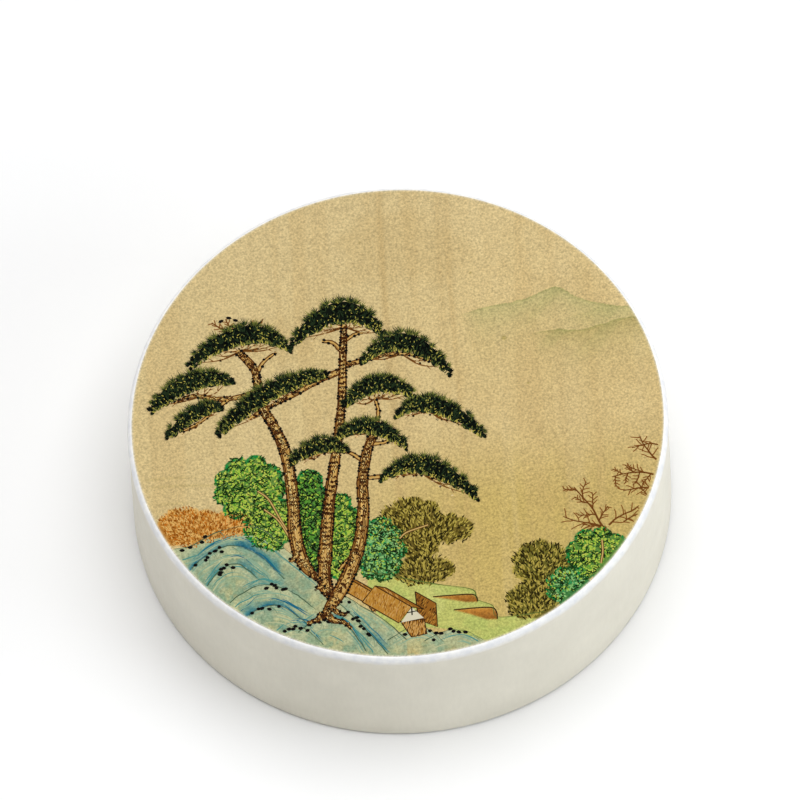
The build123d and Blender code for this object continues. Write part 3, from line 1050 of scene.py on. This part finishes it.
class Brush:
    """Flat strokes of pigment lying on the silk; those of a higher layer lie on top."""

    def __init__(self, layer):
        self.points, self.faces, self.colours = [], [], []
        self.layer = layer

    def shape(self, outline, pigment):
        """A filled outline, kept inside the picture."""
        outline = np.asarray(outline, float)
        out = far_out(outline)
        if out.min() > MARGIN:
            return
        outline = outline * np.minimum(1, LIMIT / np.maximum(out, 1e-9))[:, None]
        start = len(self.points)
        height = PICTURE_TOP + (LOWEST + self.layer) * STEP
        self.points += [(u * PICTURE_R, v * PICTURE_R, height) for u, v in outline]
        self.faces.append(range(start, start + len(outline)))
        self.colours.append(pigment_names.index(pigment))

    def ribbon(self, path, widths, pigment):
        """A line along the path; widths is its width at each point, or one for all."""
        path = np.asarray(path, float)
        widths = np.broadcast_to(widths, len(path)) / 2
        side = normals(path) * widths[:, None]
        left, right = path + side, path - side
        for i in range(len(path) - 1):
            self.shape([right[i], right[i + 1], left[i + 1], left[i]], pigment)

    def line(self, points, width, pigment, count=5, taper=True):
        """A smooth line through the points, which thins towards its end if it tapers."""
        path = curve(points, count)
        share = np.linspace(0, 1, len(path))
        fade = 1 - 0.75 * share if taper else 1.0
        self.ribbon(path, width * fade, pigment)

    def flick(self, root, tip, width, pigment):
        """A short stroke, thickest near its root, that ends in a point."""
        root, tip = np.asarray(root), np.asarray(tip)
        side = sideways(unit(tip - root)) * width / 2
        middle = root + (tip - root) * 0.35
        self.shape([root - side * 0.5, middle - side, tip, middle + side, root + side * 0.5], pigment)

    def dab(self, centre, direction, length, width, pigment):
        """A small leaf-shaped touch of the brush."""
        centre = np.asarray(centre, float)
        ahead = toward(direction) * length / 2
        side = sideways(unit(ahead)) * width / 2
        corners = ((-1, 0), (-0.4, -1), (0.4, -1), (1, 0), (0.4, 1), (-0.4, 1))
        self.shape([centre + ahead * a + side * b for a, b in corners], pigment)

    def dot(self, centre, size, pigment):
        """A round, slightly uneven dot of ink."""
        start = rng.uniform(0, TURN)
        radii = [size / 2 * rng.uniform(0.75, 1.15) for _ in range(7)]
        self.shape([centre + r * toward(start + k * TURN / 7) for k, r in enumerate(radii)], pigment)

    def done(self, name):
        """Makes the piece that holds the strokes so far."""
        used = sorted(set(self.colours))
        materials = [pigments[i] for i in used]
        index = [used.index(i) for i in self.colours]
        piece = new_piece(name, self.points, self.faces, materials, index)
        piece.visible_shadow = False  # strokes of one layer overlap, and would darken each other
        return add(piece, "lid", "picture")


def within(lobes, density, low, seed):
    """Random points inside a group of lobes, each with how deep it lies, 1 at the middle.

    density is how many are tried in a unit square, and low is the least depth."""
    corner, far = box_of(lobes, 0.13)
    count = int(density * np.prod(far - corner))
    spots = np.random.default_rng(seed).uniform(corner, far, (count, 2))
    value = blob(spots, lobes, seed, 0.1)
    keep = (value > low) & (far_out(spots) < MARGIN)
    return list(zip(spots[keep], value[keep]))


CANOPIES = [
    # left end, top and right end of each, its thickness, where its twigs spring from, their number
    ((-0.38, 0.37), (-0.185, 0.54), (-0.03, 0.385), 0.115, (-0.175, 0.42), 12),
    ((-0.12, 0.27), (0.05, 0.385), (0.21, 0.2), 0.098, (0.03, 0.29), 10),
    ((-0.68, 0.0), (-0.5, 0.19), (-0.26, 0.23), 0.085, (-0.42, 0.135), 12),
    ((-0.775, 0.3), (-0.56, 0.46), (-0.39, 0.35), 0.1, (-0.57, 0.345), 10),
    ((-0.93, 0.12), (-0.775, 0.265), (-0.615, 0.225), 0.09, (-0.74, 0.16), 7),
    ((-0.87, 0.0), (-0.765, 0.12), (-0.665, 0.115), 0.068, (-0.75, 0.045), 6),
    ((-0.2, 0.09), (-0.07, 0.205), (0.07, 0.115), 0.09, (-0.075, 0.105), 9),
    ((-0.23, -0.045), (-0.1, 0.02), (0.03, -0.105), 0.078, (-0.07, -0.015), 9),
    ((0.0, 0.03), (0.145, 0.1), (0.325, -0.08), 0.085, (0.12, 0.045), 10),
    ((-0.41, -0.14), (-0.305, -0.05), (-0.2, -0.1), 0.075, (-0.29, -0.11), 7),
    ((-0.07, -0.235), (0.1, -0.155), (0.285, -0.345), 0.09, (0.07, -0.22), 10),
]


def canopy_frame(left, top, right, thick):
    """A canopy's upper edge and its depth, as functions that run from 0 at its left to 1 at
    its right, and the way that it grows."""
    left, top, right = (np.array(p) for p in (left, top, right))
    base = right - left
    up = sideways(unit(base))
    rise = (top - left) @ up
    lean = np.clip((top - left) @ base / (base @ base), 0.25, 0.75)

    def edge(t, share=1.0):
        bend = math.sin(math.pi * t) ** 0.75
        along = t + (lean - 0.5) * math.sin(math.pi * t) * 0.9
        return left + base * along + up * rise * bend * share

    def depth(t, least=0.3):
        return thick * (least + (1 - least) * math.sin(math.pi * t) ** 0.6)

    return edge, depth, up


def paint_canopy(brush, left, top, right, thick, *_):
    """Layered fans of pine needles, dark at heart, feathery above, with pale tips beneath."""
    edge, depth, up = canopy_frame(left, top, right, thick)
    length = math.dist(left, right)
    body = []
    for t in np.linspace(0.03, 0.97, 26):
        body.append(edge(t, 0.96) - up * 0.004)
    for t in np.linspace(0.97, 0.03, 26):
        body.append(edge(t) - up * depth(t, 0.12) * 0.82)
    brush.shape(body, "needle_deep")
    rows = 5
    dark = ("needle_black",) * 3 + ("needle_deep",) * 2 + ("needle_mid",)
    base_layer = brush.layer
    count = int(length / 0.019)
    for row, k in np.ndindex(rows, count):
        t = np.clip((k + rng.uniform(0, 1)) / count, 0.01, 0.99)
        low = depth(t) * (0.12 + 0.78 * row / (rows - 1))
        root = edge(t) - up * (low + rng.uniform(-0.004, 0.004))
        ahead = edge(min(t + 0.02, 1)) - edge(max(t - 0.02, 0))
        heading = bearing(sideways(unit(ahead))) + rng.uniform(-0.3, 0.3)
        slim = 0.5 + 0.5 * math.sin(math.pi * t) ** 0.5
        reach = rng.uniform(0.026, 0.036) * slim
        for spread in np.linspace(-1.15, 1.15, 11):
            angle = heading + spread + rng.uniform(-0.07, 0.07)
            size = reach * (1 - 0.22 * abs(spread)) * rng.uniform(0.85, 1.1)
            if row == 0:  # the feathery upper edge
                shade = rng.choice(("needle_soft", "needle_mid"))
                size *= rng.uniform(1.0, 1.4)
                width = 0.004
            else:
                shade = rng.choice(dark)
                width = 0.0058
            tip = root + size * toward(angle)
            brush.layer = base_layer + 1 + 2 * row + (shade in ("needle_mid", "needle_soft"))
            brush.flick(root, tip, width, shade)
    brush.layer = base_layer + 1 + 2 * rows
    for _ in range(int(length / 0.0023)):
        t = rng.uniform(0.03, 0.97)
        spot = edge(t) - up * depth(t) * rng.uniform(0.15, 0.95)
        angle = bearing(up) + rng.uniform(-1.2, 1.2)
        tip = spot + rng.uniform(0.007, 0.012) * toward(angle)
        shade = rng.choice(("needle_gold", "needle_soft", "needle_soft", "needle_mid"))
        brush.flick(spot, tip, 0.0036, shade)
    spacing = 0.0065
    for k in range(int(length / spacing)):
        t = np.clip((k + rng.random()) * spacing / length, 0.04, 0.97)
        spot = edge(t) - up * depth(t) * rng.uniform(0.86, 0.98)
        angle = bearing(up) + rng.uniform(-0.9, 0.9)
        tip = spot + rng.uniform(0.014, 0.022) * toward(angle)
        brush.flick(spot, tip, 0.005, rng.choice(("needle_gold", "needle_mid", "needle_soft")))


def paint_twigs(brush, left, top, right, thick, root, count):
    """Twigs that fan out from a branch to the underside of its canopy."""
    edge, depth, up = canopy_frame(left, top, right, thick)
    for k in range(count):
        t = 0.08 + 0.84 * (k + rng.uniform(0.2, 0.8)) / count
        end = edge(t) - up * depth(t) * 0.85
        middle = (root + end) / 2 - up * rng.uniform(0.0, 0.018)
        brush.line([root, middle, end], 0.009, "branch_brown", 6)
        fork = middle + (end - middle) * 0.4
        side = fork + 0.025 * unit(end - fork + sideways(end - fork) * rng.choice((-0.8, 0.8)))
        brush.line([fork, side], 0.0045, "branch_brown", 3)
        for spot in (middle, fork, side):
            brush.dab(spot + rng.uniform(-0.009, 0.009), rng.uniform(-0.6, 0.6), 0.012, 0.006, "lichen")
        if rng.random() < 0.8:
            brush.dot(middle + rng.uniform(-0.006, 0.006), 0.0095, "ink")


def moss(brush, path, widths, spacing, size=0.0115):
    """Ink dots in uneven runs down both edges of a trunk or branch."""
    steps = step_lengths(path)
    length = steps.sum()
    share = np.concatenate([[0], np.cumsum(steps)]) / length

    def at(t):
        return np.array([np.interp(t, share, path[:, k]) for k in (0, 1)])

    for side in (-1, 1):
        t = rng.uniform(0, spacing) / length
        while t < 1:
            ahead = at(min(t + 0.02, 1)) - at(max(t - 0.02, 0))
            width = np.interp(t, share, widths)
            spot = at(t) + side * sideways(unit(ahead)) * (width / 2 + 0.0015)
            brush.dot(spot, size * rng.uniform(0.75, 1.25), "ink")
            t += spacing * rng.choice((0.45, 0.6, 1.0, 1.7)) / length


def paint_limb(brush, points, wide, narrow, bark=True, dots=0.026, foot=0.0):
    """A trunk or branch: dark knobbly edges, a lighter middle, scales of bark and moss.

    foot is the share of its length over which it thickens from a thin root."""
    path = curve(points, 10)
    share = np.linspace(0, 1, len(path))
    widths = wide + (narrow - wide) * share**0.8
    if foot:
        widths = widths * (0.25 + 0.75 * ramp(share, 0, foot))
    knobs = 1 + 0.16 * smooth_noise(np.stack([share * 30, share * 0 + wide * 400], 1), 1.0, 5)
    base_layer = brush.layer
    brush.ribbon(path, (widths + 0.0065) * knobs, "bark_dark")
    brush.layer = base_layer + 1
    brush.ribbon(path, widths * 0.9 * knobs, "bark_brown")
    brush.layer = base_layer + 2
    side = normals(path)
    brush.ribbon(path - side * widths[:, None] * 0.04, widths * 0.62 * knobs, "bark_ochre")
    brush.layer = base_layer + 3
    for _ in range(int(len(path) * wide * 14)):
        start = rng.randrange(0, max(len(path) - 8, 1))
        part = slice(start, start + rng.randrange(5, 12))
        off = rng.uniform(-0.4, 0.4)
        shade = "bark_dark" if abs(off) > 0.28 else rng.choice(("bark_pale", "bark_brown", "bark_dark"))
        grain = path[part] + side[part] * (widths[part] * off)[:, None]
        brush.ribbon(grain, widths[part] * 0.075, shade)
    if bark:
        for _ in range(int(step_lengths(path).sum() * wide * 7500)):
            i = rng.randrange(1, len(path) - 1)
            off = rng.uniform(-0.42, 0.42) * widths[i]
            spot = path[i] + side[i] * off + np.array([rng.uniform(-0.004, 0.004)] * 2)
            heading = bearing(-sideways(side[i]))
            size = rng.uniform(0.007, 0.012)
            edge = abs(off) / (0.42 * widths[i])
            brush.layer = base_layer + 4
            if rng.random() > edge * 0.8:
                brush.dab(spot, heading, size, size * 0.7, rng.choice(("bark_pale", "bark_ochre")))
            brush.layer = base_layer + 5
            shade = "bark_ink" if rng.random() < 0.35 else "bark_dark"
            lean = rng.uniform(-0.5, 0.5)
            turns = (heading + 2.2 + lean, heading, heading - 2.2 + lean)
            scale = [spot + size * 0.6 * toward(turn) for turn in turns]
            brush.line(scale, 0.0032, shade, 3, taper=False)
    brush.layer = base_layer + 6
    if dots:
        moss(brush, path, widths, dots)
    brush.layer = base_layer


# Each pine's trunk from the ground up, its width there and at its top, and its layer
TRUNKS = [
    ([(-0.285, -0.755), (-0.31, -0.66), (-0.295, -0.49), (-0.27, -0.3), (-0.235, -0.1), (-0.205, 0.1),
      (-0.19, 0.29), (-0.178, 0.43)], 0.058, 0.019, 46),
    ([(-0.32, -0.67), (-0.385, -0.58), (-0.41, -0.45), (-0.41, -0.3), (-0.425, -0.12), (-0.46, 0.0),
      (-0.505, 0.1), (-0.515, 0.19), (-0.53, 0.27), (-0.585, 0.345)], 0.056, 0.022, 46),
    ([(-0.335, -0.825), (-0.25, -0.7), (-0.18, -0.54), (-0.15, -0.38), (-0.145, -0.24), (-0.115, -0.1),
      (-0.07, -0.01)], 0.056, 0.028, 53),
]
BOUGHS = [
    # points from the trunk outwards, width at the trunk, width at the end
    ([(-0.19, 0.235), (-0.28, 0.2), (-0.38, 0.145), (-0.47, 0.1), (-0.56, 0.05)], 0.026, 0.009),
    ([(-0.2, 0.25), (-0.12, 0.27), (-0.03, 0.29), (0.06, 0.285), (0.14, 0.25)], 0.022, 0.007),
    ([(-0.51, 0.165), (-0.6, 0.145), (-0.68, 0.145), (-0.76, 0.165), (-0.83, 0.14)], 0.022, 0.008),
    ([(-0.63, 0.14), (-0.68, 0.1), (-0.74, 0.05), (-0.81, 0.015)], 0.014, 0.005),
    ([(-0.52, 0.24), (-0.49, 0.29), (-0.44, 0.33)], 0.016, 0.006),
    ([(-0.14, -0.16), (-0.19, -0.12), (-0.26, -0.11), (-0.34, -0.13)], 0.014, 0.006),
    ([(-0.145, -0.235), (-0.06, -0.23), (0.02, -0.22), (0.1, -0.24), (0.2, -0.29)], 0.016, 0.005),
    ([(-0.08, -0.01), (-0.07, 0.05), (-0.08, 0.11)], 0.014, 0.007),
    ([(0.0, 0.03), (0.06, 0.05), (0.13, 0.05), (0.2, 0.02), (0.27, -0.05)], 0.014, 0.005),
    ([(-0.1, -0.09), (-0.05, -0.085), (0.0, -0.055)], 0.014, 0.007),
    ([(-0.195, 0.32), (-0.225, 0.355), (-0.265, 0.365)], 0.018, 0.007),
    ([(-0.18, 0.36), (-0.14, 0.385), (-0.11, 0.39)], 0.014, 0.006),
    ([(-0.17, -0.55), (-0.215, -0.575), (-0.255, -0.62)], 0.016, 0.008),
]
ROOTS = [
    # points outwards from the trunk's foot, and the width there
    ([(-0.405, -0.535), (-0.42, -0.56), (-0.44, -0.565)], 0.022),
    ([(-0.31, -0.665), (-0.325, -0.685), (-0.345, -0.69)], 0.02),
    ([(-0.325, -0.8), (-0.35, -0.825), (-0.385, -0.835)], 0.026),
    ([(-0.315, -0.795), (-0.285, -0.83), (-0.25, -0.84), (-0.22, -0.87)], 0.03),
    ([(-0.295, -0.77), (-0.265, -0.8), (-0.235, -0.81)], 0.022),
]


def pines():
    """The pines' boughs, twigs, trunks and roots, and then their needles."""
    brush = Brush(40)
    for points, wide, narrow in BOUGHS:
        paint_limb(brush, points, wide, narrow, bark=wide > 0.019, dots=0.045)
    brush.layer = 41
    for canopy in CANOPIES:
        paint_twigs(brush, *canopy)
    for points, wide, narrow, layer in TRUNKS:
        brush.layer = layer
        paint_limb(brush, points, wide, narrow, foot=0.14)
    for points, wide in ROOTS:
        paint_limb(brush, points, wide, 0.007, dots=0.05)
    brush.done("picture_pine_wood")
    needles = Brush(60)
    for i, canopy in enumerate(CANOPIES):
        needles.layer = 60 + (i % 2) * 13
        paint_canopy(needles, *canopy)
    return needles.done("picture_pine_needles")


def paint_leaves(brush, kind, lobes, seed):
    """Foliage: a net of ink ticks over bright leaf dabs, which are greener at the edge."""
    base_layer = brush.layer
    palette = {
        GREEN: ("leaf_lime", "leaf_gold", "leaf_green", "leaf_emerald", "leaf_deep", "leaf_ink"),
        DEEP_GREEN: ("leaf_green", "leaf_lime", "leaf_deep", "leaf_emerald", "leaf_ink", "leaf_ink"),
        TEAL: ("leaf_mint", "leaf_lime", "leaf_teal", "leaf_emerald", "leaf_deep", "leaf_ink"),
    }[kind]
    light, lightest, middle, edge, dark, ink = palette
    heart = np.mean(lobes, axis=0)[:2] - (0, 0.05)
    for spot, depth in within(lobes, density=13500, low=0.04, seed=seed):
        heading = bearing(spot - heart) + rng.uniform(-0.7, 0.7)
        brush.layer = base_layer + 1
        at_edge = depth < 0.24 and rng.random() < 0.85
        shade = edge if at_edge else rng.choice((light, light, lightest, middle))
        size = rng.uniform(0.009, 0.014)
        brush.dab(spot, heading, size, size * 0.55, shade)
    for spot, depth in within(lobes, density=7600, low=0.02, seed=seed + 50):
        heading = bearing(spot - heart) + rng.choice((-0.9, 0.9)) + rng.uniform(-0.4, 0.4)
        ahead = toward(heading) * rng.uniform(0.006, 0.011)
        side = sideways(ahead) * rng.uniform(-0.5, 0.5)
        shade = rng.choice((dark, dark, ink)) if depth > 0.1 else dark
        brush.layer = base_layer + 2
        brush.line([spot - ahead, spot + side, spot + ahead], 0.004, shade, 3, taper=False)
    for spot, depth in within(lobes, density=2200, low=0.12, seed=seed + 80):
        brush.layer = base_layer + 3
        brush.dab(spot, rng.uniform(0, TURN), 0.009, 0.005, rng.choice((lightest, light)))


def paint_ticks(brush, lobes, shades, root, size, **spread):
    """Dry-brushed foliage: many slender ticks that spread from a root point.

    spread is the density, least depth and seed of their places."""
    for spot, _ in within(lobes, **spread):
        heading = bearing(spot - root) + rng.gauss(0, 0.45)
        ahead = toward(heading) * size * rng.uniform(0.7, 1.3)
        k = rng.randrange(len(shades))
        brush.layer = k + 1
        brush.flick(spot - ahead / 2, spot + ahead / 2, size * 0.34, shades[k])


def shrubs():
    """The dry-brushed bushes, the leafy ones over them, and a few stems."""
    brush = Brush(0)
    for i, (kind, _, lobes) in enumerate(SHRUBS):
        if kind == OLIVE:
            spots = np.array(lobes)
            root = (spots[:, 0].mean(), spots[:, 1].min() - 0.06)  # below the bush's middle
            shades = ("olive_mid", "olive_dark", "olive_pale", "olive_ink", "olive_pale", "olive_ink")
            paint_ticks(brush, lobes, shades, root, 0.017, density=18500, low=-0.06, seed=200 + i)
    shades = ("ember_pale", "ember_dark", "ember_mid", "ember_dark", "ember_pale")
    root = (-0.72, -0.54)
    paint_ticks(brush, EMBERS, shades, root, 0.0135, density=27000, low=-0.1, seed=230)
    for i, (kind, _, lobes) in enumerate(SHRUBS):
        brush.layer = 8 + 5 * (i % 3)
        if kind != OLIVE:
            paint_leaves(brush, kind, lobes, 240 + i)
    stems = [
        [(-0.54, -0.26), (-0.5, -0.3), (-0.46, -0.39), (-0.41, -0.49)],
        [(-0.52, -0.34), (-0.47, -0.39), (-0.43, -0.47)],
        [(-0.02, -0.5), (0.01, -0.475), (0.09, -0.45)],
        [(0.735, -0.56), (0.735, -0.61), (0.725, -0.66)],
    ]
    for stem in stems:
        brush.layer = 24
        brush.line(stem, 0.0105, "bark_dark", 6, taper=False)
        brush.layer = 25
        brush.line(stem, 0.005, "branch_pale", 6, taper=False)
    return brush.done("picture_shrubs")


def waver(path, amount, size, seeds):
    """The path, moved a little from side to side and up and down."""
    return path + amount * np.stack([smooth_noise(path, size, seed) for seed in seeds], 1)


def rock_streaks(brush, path, blue):
    """Dry brush streaks that follow a fold: pale on its crown, blue in the hollow behind it."""
    for k in range(int(len(path) * (0.2 + 0.2 * blue))):
        brush.layer = k % 8
        start = rng.randrange(0, len(path) - 10)
        part = path[start : start + rng.randrange(8, 26)]
        above = blue and rng.random() < 0.45
        off = rng.uniform(0.004, 0.026 + 0.02 * blue) if above else -rng.uniform(0.01, 0.075)
        drift = np.linspace(0, rng.uniform(-0.012, 0.012), len(part))
        part = part + np.stack([drift * 0.4, off + drift], 1)
        part = waver(part, 0.003, 0.03, (303, 309))
        if above:
            shade = "rock_blue" if rng.random() < 0.25 + 0.5 * blue else "rock_teal"
        else:
            shade = rng.choice(("rock_cream", "rock_mist", "rock_mist", "rock_teal"))
        fade = np.sin(np.linspace(0.1, 1, len(part)) * math.pi * 0.97)
        brush.ribbon(part, rng.uniform(0.003, 0.006) * fade, shade)


def contour(brush, path, width, pigment, seed):
    """A line whose ink comes and goes."""
    pressure = 0.4 + 0.6 * ramp(smooth_noise(path, 0.05, seed), -0.5, 0.4)
    brush.ribbon(path, width * pressure, pigment)


def rocks():
    """Contour lines along the rocks' folds, and dots of moss."""
    brush = Brush(0)
    for ridge, blue in ROCKS:
        rock_streaks(brush, curve(ridge, 14), blue)
    brush.layer = 28
    for i, (ridge, _) in enumerate(ROCKS):
        path = waver(curve(ridge, 20), 0.0022, 0.02, (301, 307))
        contour(brush, path, 0.0042, "rock_line", 311 + i)
        for _ in range(3):
            k = rng.randrange(6, len(path) - 6)
            start = path[k] - (0, 0.004)
            step = np.array([rng.uniform(-0.2, 0.9), -1.0]) * rng.uniform(0.03, 0.05)
            bend = start + step * 0.5 + (0.006, 0)
            brush.line([start, bend, start + step], 0.0028, "rock_soft")
    brush.layer = 29
    for ridge, _ in ROCKS:
        path = curve(ridge, 20)
        for k in rng.sample(range(len(path) - 35), 2):
            for _ in range(rng.randint(3, 4)):
                k += rng.randint(4, 8)
                spot = path[k] + (rng.uniform(-0.008, 0.008), rng.uniform(-0.02, 0.006))
                brush.dab(spot, rng.uniform(-0.4, 0.4), rng.uniform(0.017, 0.024), 0.013, "ink")
    brush.layer = 28
    contour(brush, curve(MEADOW_EDGE, 8), 0.0045, "meadow_line", 321)
    for bank in BANKS:
        brush.line(bank[:5], 0.005, "roof_ink", 4, taper=False)
    return brush.done("picture_rock_lines")


def thatch(brush, outline, fill, shades, heading, count):
    """A roof, wall or fence: a filled outline under straw strokes that all run one way, with
    an ink line round it."""
    outline = np.array(outline)
    base_layer = brush.layer
    brush.shape(outline, fill)
    low, high = outline.min(axis=0), outline.max(axis=0)
    spots = np.random.default_rng(count).uniform(low, high, (count * 3, 2))
    for spot in spots[outline_depth(spots, outline) > 0.003][:count]:
        k = rng.randrange(len(shades))
        brush.layer = base_layer + 1 + k
        ahead = toward(heading) * rng.uniform(0.006, 0.011)
        brush.flick(spot - ahead, spot + ahead, 0.0036, shades[k])
    brush.layer = base_layer + 5
    brush.ribbon(np.vstack([outline, outline[:1]]), 0.0045, "roof_ink")
    brush.layer = base_layer + 6


def hut(brush, corner, size):
    """A thatched hut: its long roof slope, its gable end with plaster and struts, a low wall."""
    area = size**2
    corner = np.array(corner)
    along = size * np.array([0.8, -0.6])
    across = size * np.array([0.62, 0.1])
    ridge = corner + across / 2 + size * np.array([0, 0.34])
    eave, far = corner + along, corner + along + across
    peak = ridge + along
    drop = size * np.array([0, 0.42])
    straw = ("roof_ink", "roof_brown", "roof_ochre", "roof_pale")
    wall = [eave + 0.04 * size, far - 0.04 * size, far - drop, eave - drop + across * 0.42]
    thatch(brush, wall, "roof_dark", straw, heading=1.3, count=int(9000 * area))
    brush.shape([eave + across * 0.08, peak, far - across * 0.08], "plaster")
    back = [ridge, ridge + across * 0.4 - drop * 0.25, peak + across * 0.45 - drop * 0.3, peak]
    thatch(brush, back, "roof_brown", straw[1:], heading=-0.9, count=int(4000 * area))
    slope = [corner, ridge, peak, eave]
    pale_straw = ("roof_pale", "roof_brown", "roof_ochre")
    thatch(brush, slope, "roof_ochre", pale_straw, heading=-1.9, count=int(12000 * area))
    brush.line([peak, peak - drop * 0.5], 0.005, "ink", 2, taper=False)
    tie = peak - drop * 0.3
    brush.line([tie - across * 0.2, tie + across * 0.2], 0.004, "ink", 2, taper=False)


def huts():
    """Two huts behind the rocks, and a brushwood fence."""
    brush = Brush(10)
    fence = [(0.025, -0.73), (0.1, -0.785), (0.1, -0.885), (0.03, -0.85)]
    wattle = ("roof_ink", "roof_dark", "roof_ochre")
    thatch(brush, fence, "roof_brown", wattle, heading=1.0, count=110)
    hut(brush, (-0.25, -0.7), 0.105)
    hut(brush, (-0.175, -0.76), 0.165)
    return brush.done("picture_huts")


def paint_bare(brush, start, heading, length, width, forks):
    """A leafless branch that bends as it grows and forks to either side."""
    points = [np.array(start)]
    for _ in range(4):
        heading += rng.uniform(-0.28, 0.28)
        points.append(points[-1] + length / 4 * toward(heading))
    path = curve(points, 4)
    widths = np.linspace(width, max(width * 0.5, 0.0038), len(path))
    brush.ribbon(path, widths, "bare_brown" if forks else "bare_pale")
    if not forks:
        return
    side = rng.choice((-1, 1))
    for k in range(2, len(path) - 1, 2):
        side = -side
        lean = heading + side * rng.uniform(0.55, 1.0)
        size = length * rng.uniform(0.34, 0.52) * (1 - 0.45 * k / len(path))
        paint_bare(brush, path[k], lean, size, max(widths[k] * 0.75, 0.005), forks - 1)


BARE_TREES = [
    # where each bough starts, its heading, length and width, and how often it forks
    ((0.755, -0.53), 2.08, 0.23, 0.0095, 2),
    ((0.755, -0.51), 2.75, 0.17, 0.008, 1),
    ((0.765, -0.5), 0.85, 0.14, 0.008, 1),
    ((0.82, -0.49), 0.6, 0.1, 0.006, 1),
    ((0.955, -0.3), 2.75, 0.17, 0.008, 2),
    ((0.965, -0.24), 2.5, 0.13, 0.008, 1),
    ((0.945, -0.36), 3.1, 0.12, 0.008, 1),
    ((0.93, -0.4), 2.3, 0.08, 0.006, 1),
    ((0.97, -0.17), 2.9, 0.1, 0.006, 1),
]
PINE_SHOOTS = [
    # bare shoots at the top of a pine, in the same terms
    ((-0.6, 0.43), 1.9, 0.06, 0.008, 1),
    ((-0.62, 0.43), 2.6, 0.07, 0.008, 1),
    ((-0.55, 0.44), 0.7, 0.07, 0.007, 1),
]


def bare_trees():
    """Leafless trees at the right, and the bare shoots of a pine."""
    brush = Brush(2)
    for bough in BARE_TREES:
        paint_bare(brush, *bough)
    brush.layer = 41
    for shoot in PINE_SHOOTS:
        paint_bare(brush, *shoot)
    brush.layer = 42
    for u, v in ((-0.64, 0.478), (-0.61, 0.49), (-0.585, 0.478), (-0.6, 0.452)):
        brush.dab((u, v), rng.uniform(-0.5, 0.5), 0.024, 0.012, "ink")
    return brush.done("picture_bare_branches")


for seed, paint in enumerate((rocks, huts, shrubs, bare_trees, pines)):
    rng.seed(60 + seed)
    paint()


# ------------------------------------------------------------ floor, lights and camera


def stage_floor():
    """A wide, faintly clouded white floor."""
    s = Shader("studio_floor", (250, 250, 250), 0.9, Specular_IOR_Level=0.1)
    s.paint(s.blend(s.patches(0.2, 2), rgba((249, 249, 249)), rgba((251, 251, 251))))
    s.bump(s.noise(2 * MM, 2), 0.02 * MM)
    half = 4.0
    corners = [(-half, -half, 0), (half, -half, 0), (half, half, 0), (-half, half, 0)]
    return new_piece("studio_floor", corners, [(0, 1, 2, 3)], [s.material])


def softbox(name, place, target, width, height, watts, colour=(1, 1, 1)):
    """A rectangular lamp at a place, turned to face its target."""
    data = bpy.data.lights.new(name, "AREA")
    data.shape, data.size, data.size_y = "RECTANGLE", width, height
    data.energy, data.color = watts, colour
    lamp = bpy.data.objects.new(name, data)
    lamp.location = place
    lamp.rotation_euler = (Vector(target) - Vector(place)).to_track_quat("-Z", "Y").to_euler()
    bpy.context.scene.collection.objects.link(lamp)


stage_floor()
softbox("overhead_softbox", (0.12, 0.24, 2.6), (0, 0, 0), width=3.07, height=3.07, watts=73.7)
softbox("right_softbox", (0.95, -0.35, 0.4), (0, 0, 0.01), width=0.6, height=0.5, watts=3.5,
        colour=(0.88, 0.94, 1.0))

world = bpy.data.worlds.new("studio")
world.use_nodes = True
background = world.node_tree.nodes["Background"].inputs
background["Color"].default_value = (1, 1, 1, 1)
background["Strength"].default_value = 0.235
bpy.context.scene.world = world

# A long lens from in front and above, turned a little about its own axis
ELEVATION = math.radians(61)
ROLL = math.radians(-3.67)
DISTANCE = 2.4
SENSOR, LENS = 36, 833
RISE = 7.7 * MM  # how far above the case's middle the view is centred
camera_data = bpy.data.cameras.new("camera")
camera_data.sensor_width, camera_data.lens = SENSOR, LENS
camera = bpy.data.objects.new("camera", camera_data)
aim = Vector((0, 0, CASE_HIGH.z * 0.5))
back = Vector((0, -math.cos(ELEVATION), math.sin(ELEVATION)))
turned = back.to_track_quat("Z", "Y") @ Quaternion((0, 0, 1), ROLL)
camera.rotation_euler = turned.to_euler()
aim += turned @ Vector((0, RISE, 0))
camera.location = aim + back * DISTANCE
bpy.context.scene.collection.objects.link(camera)
bpy.context.scene.camera = camera
bpy.context.scene.view_settings.view_transform = "Standard"
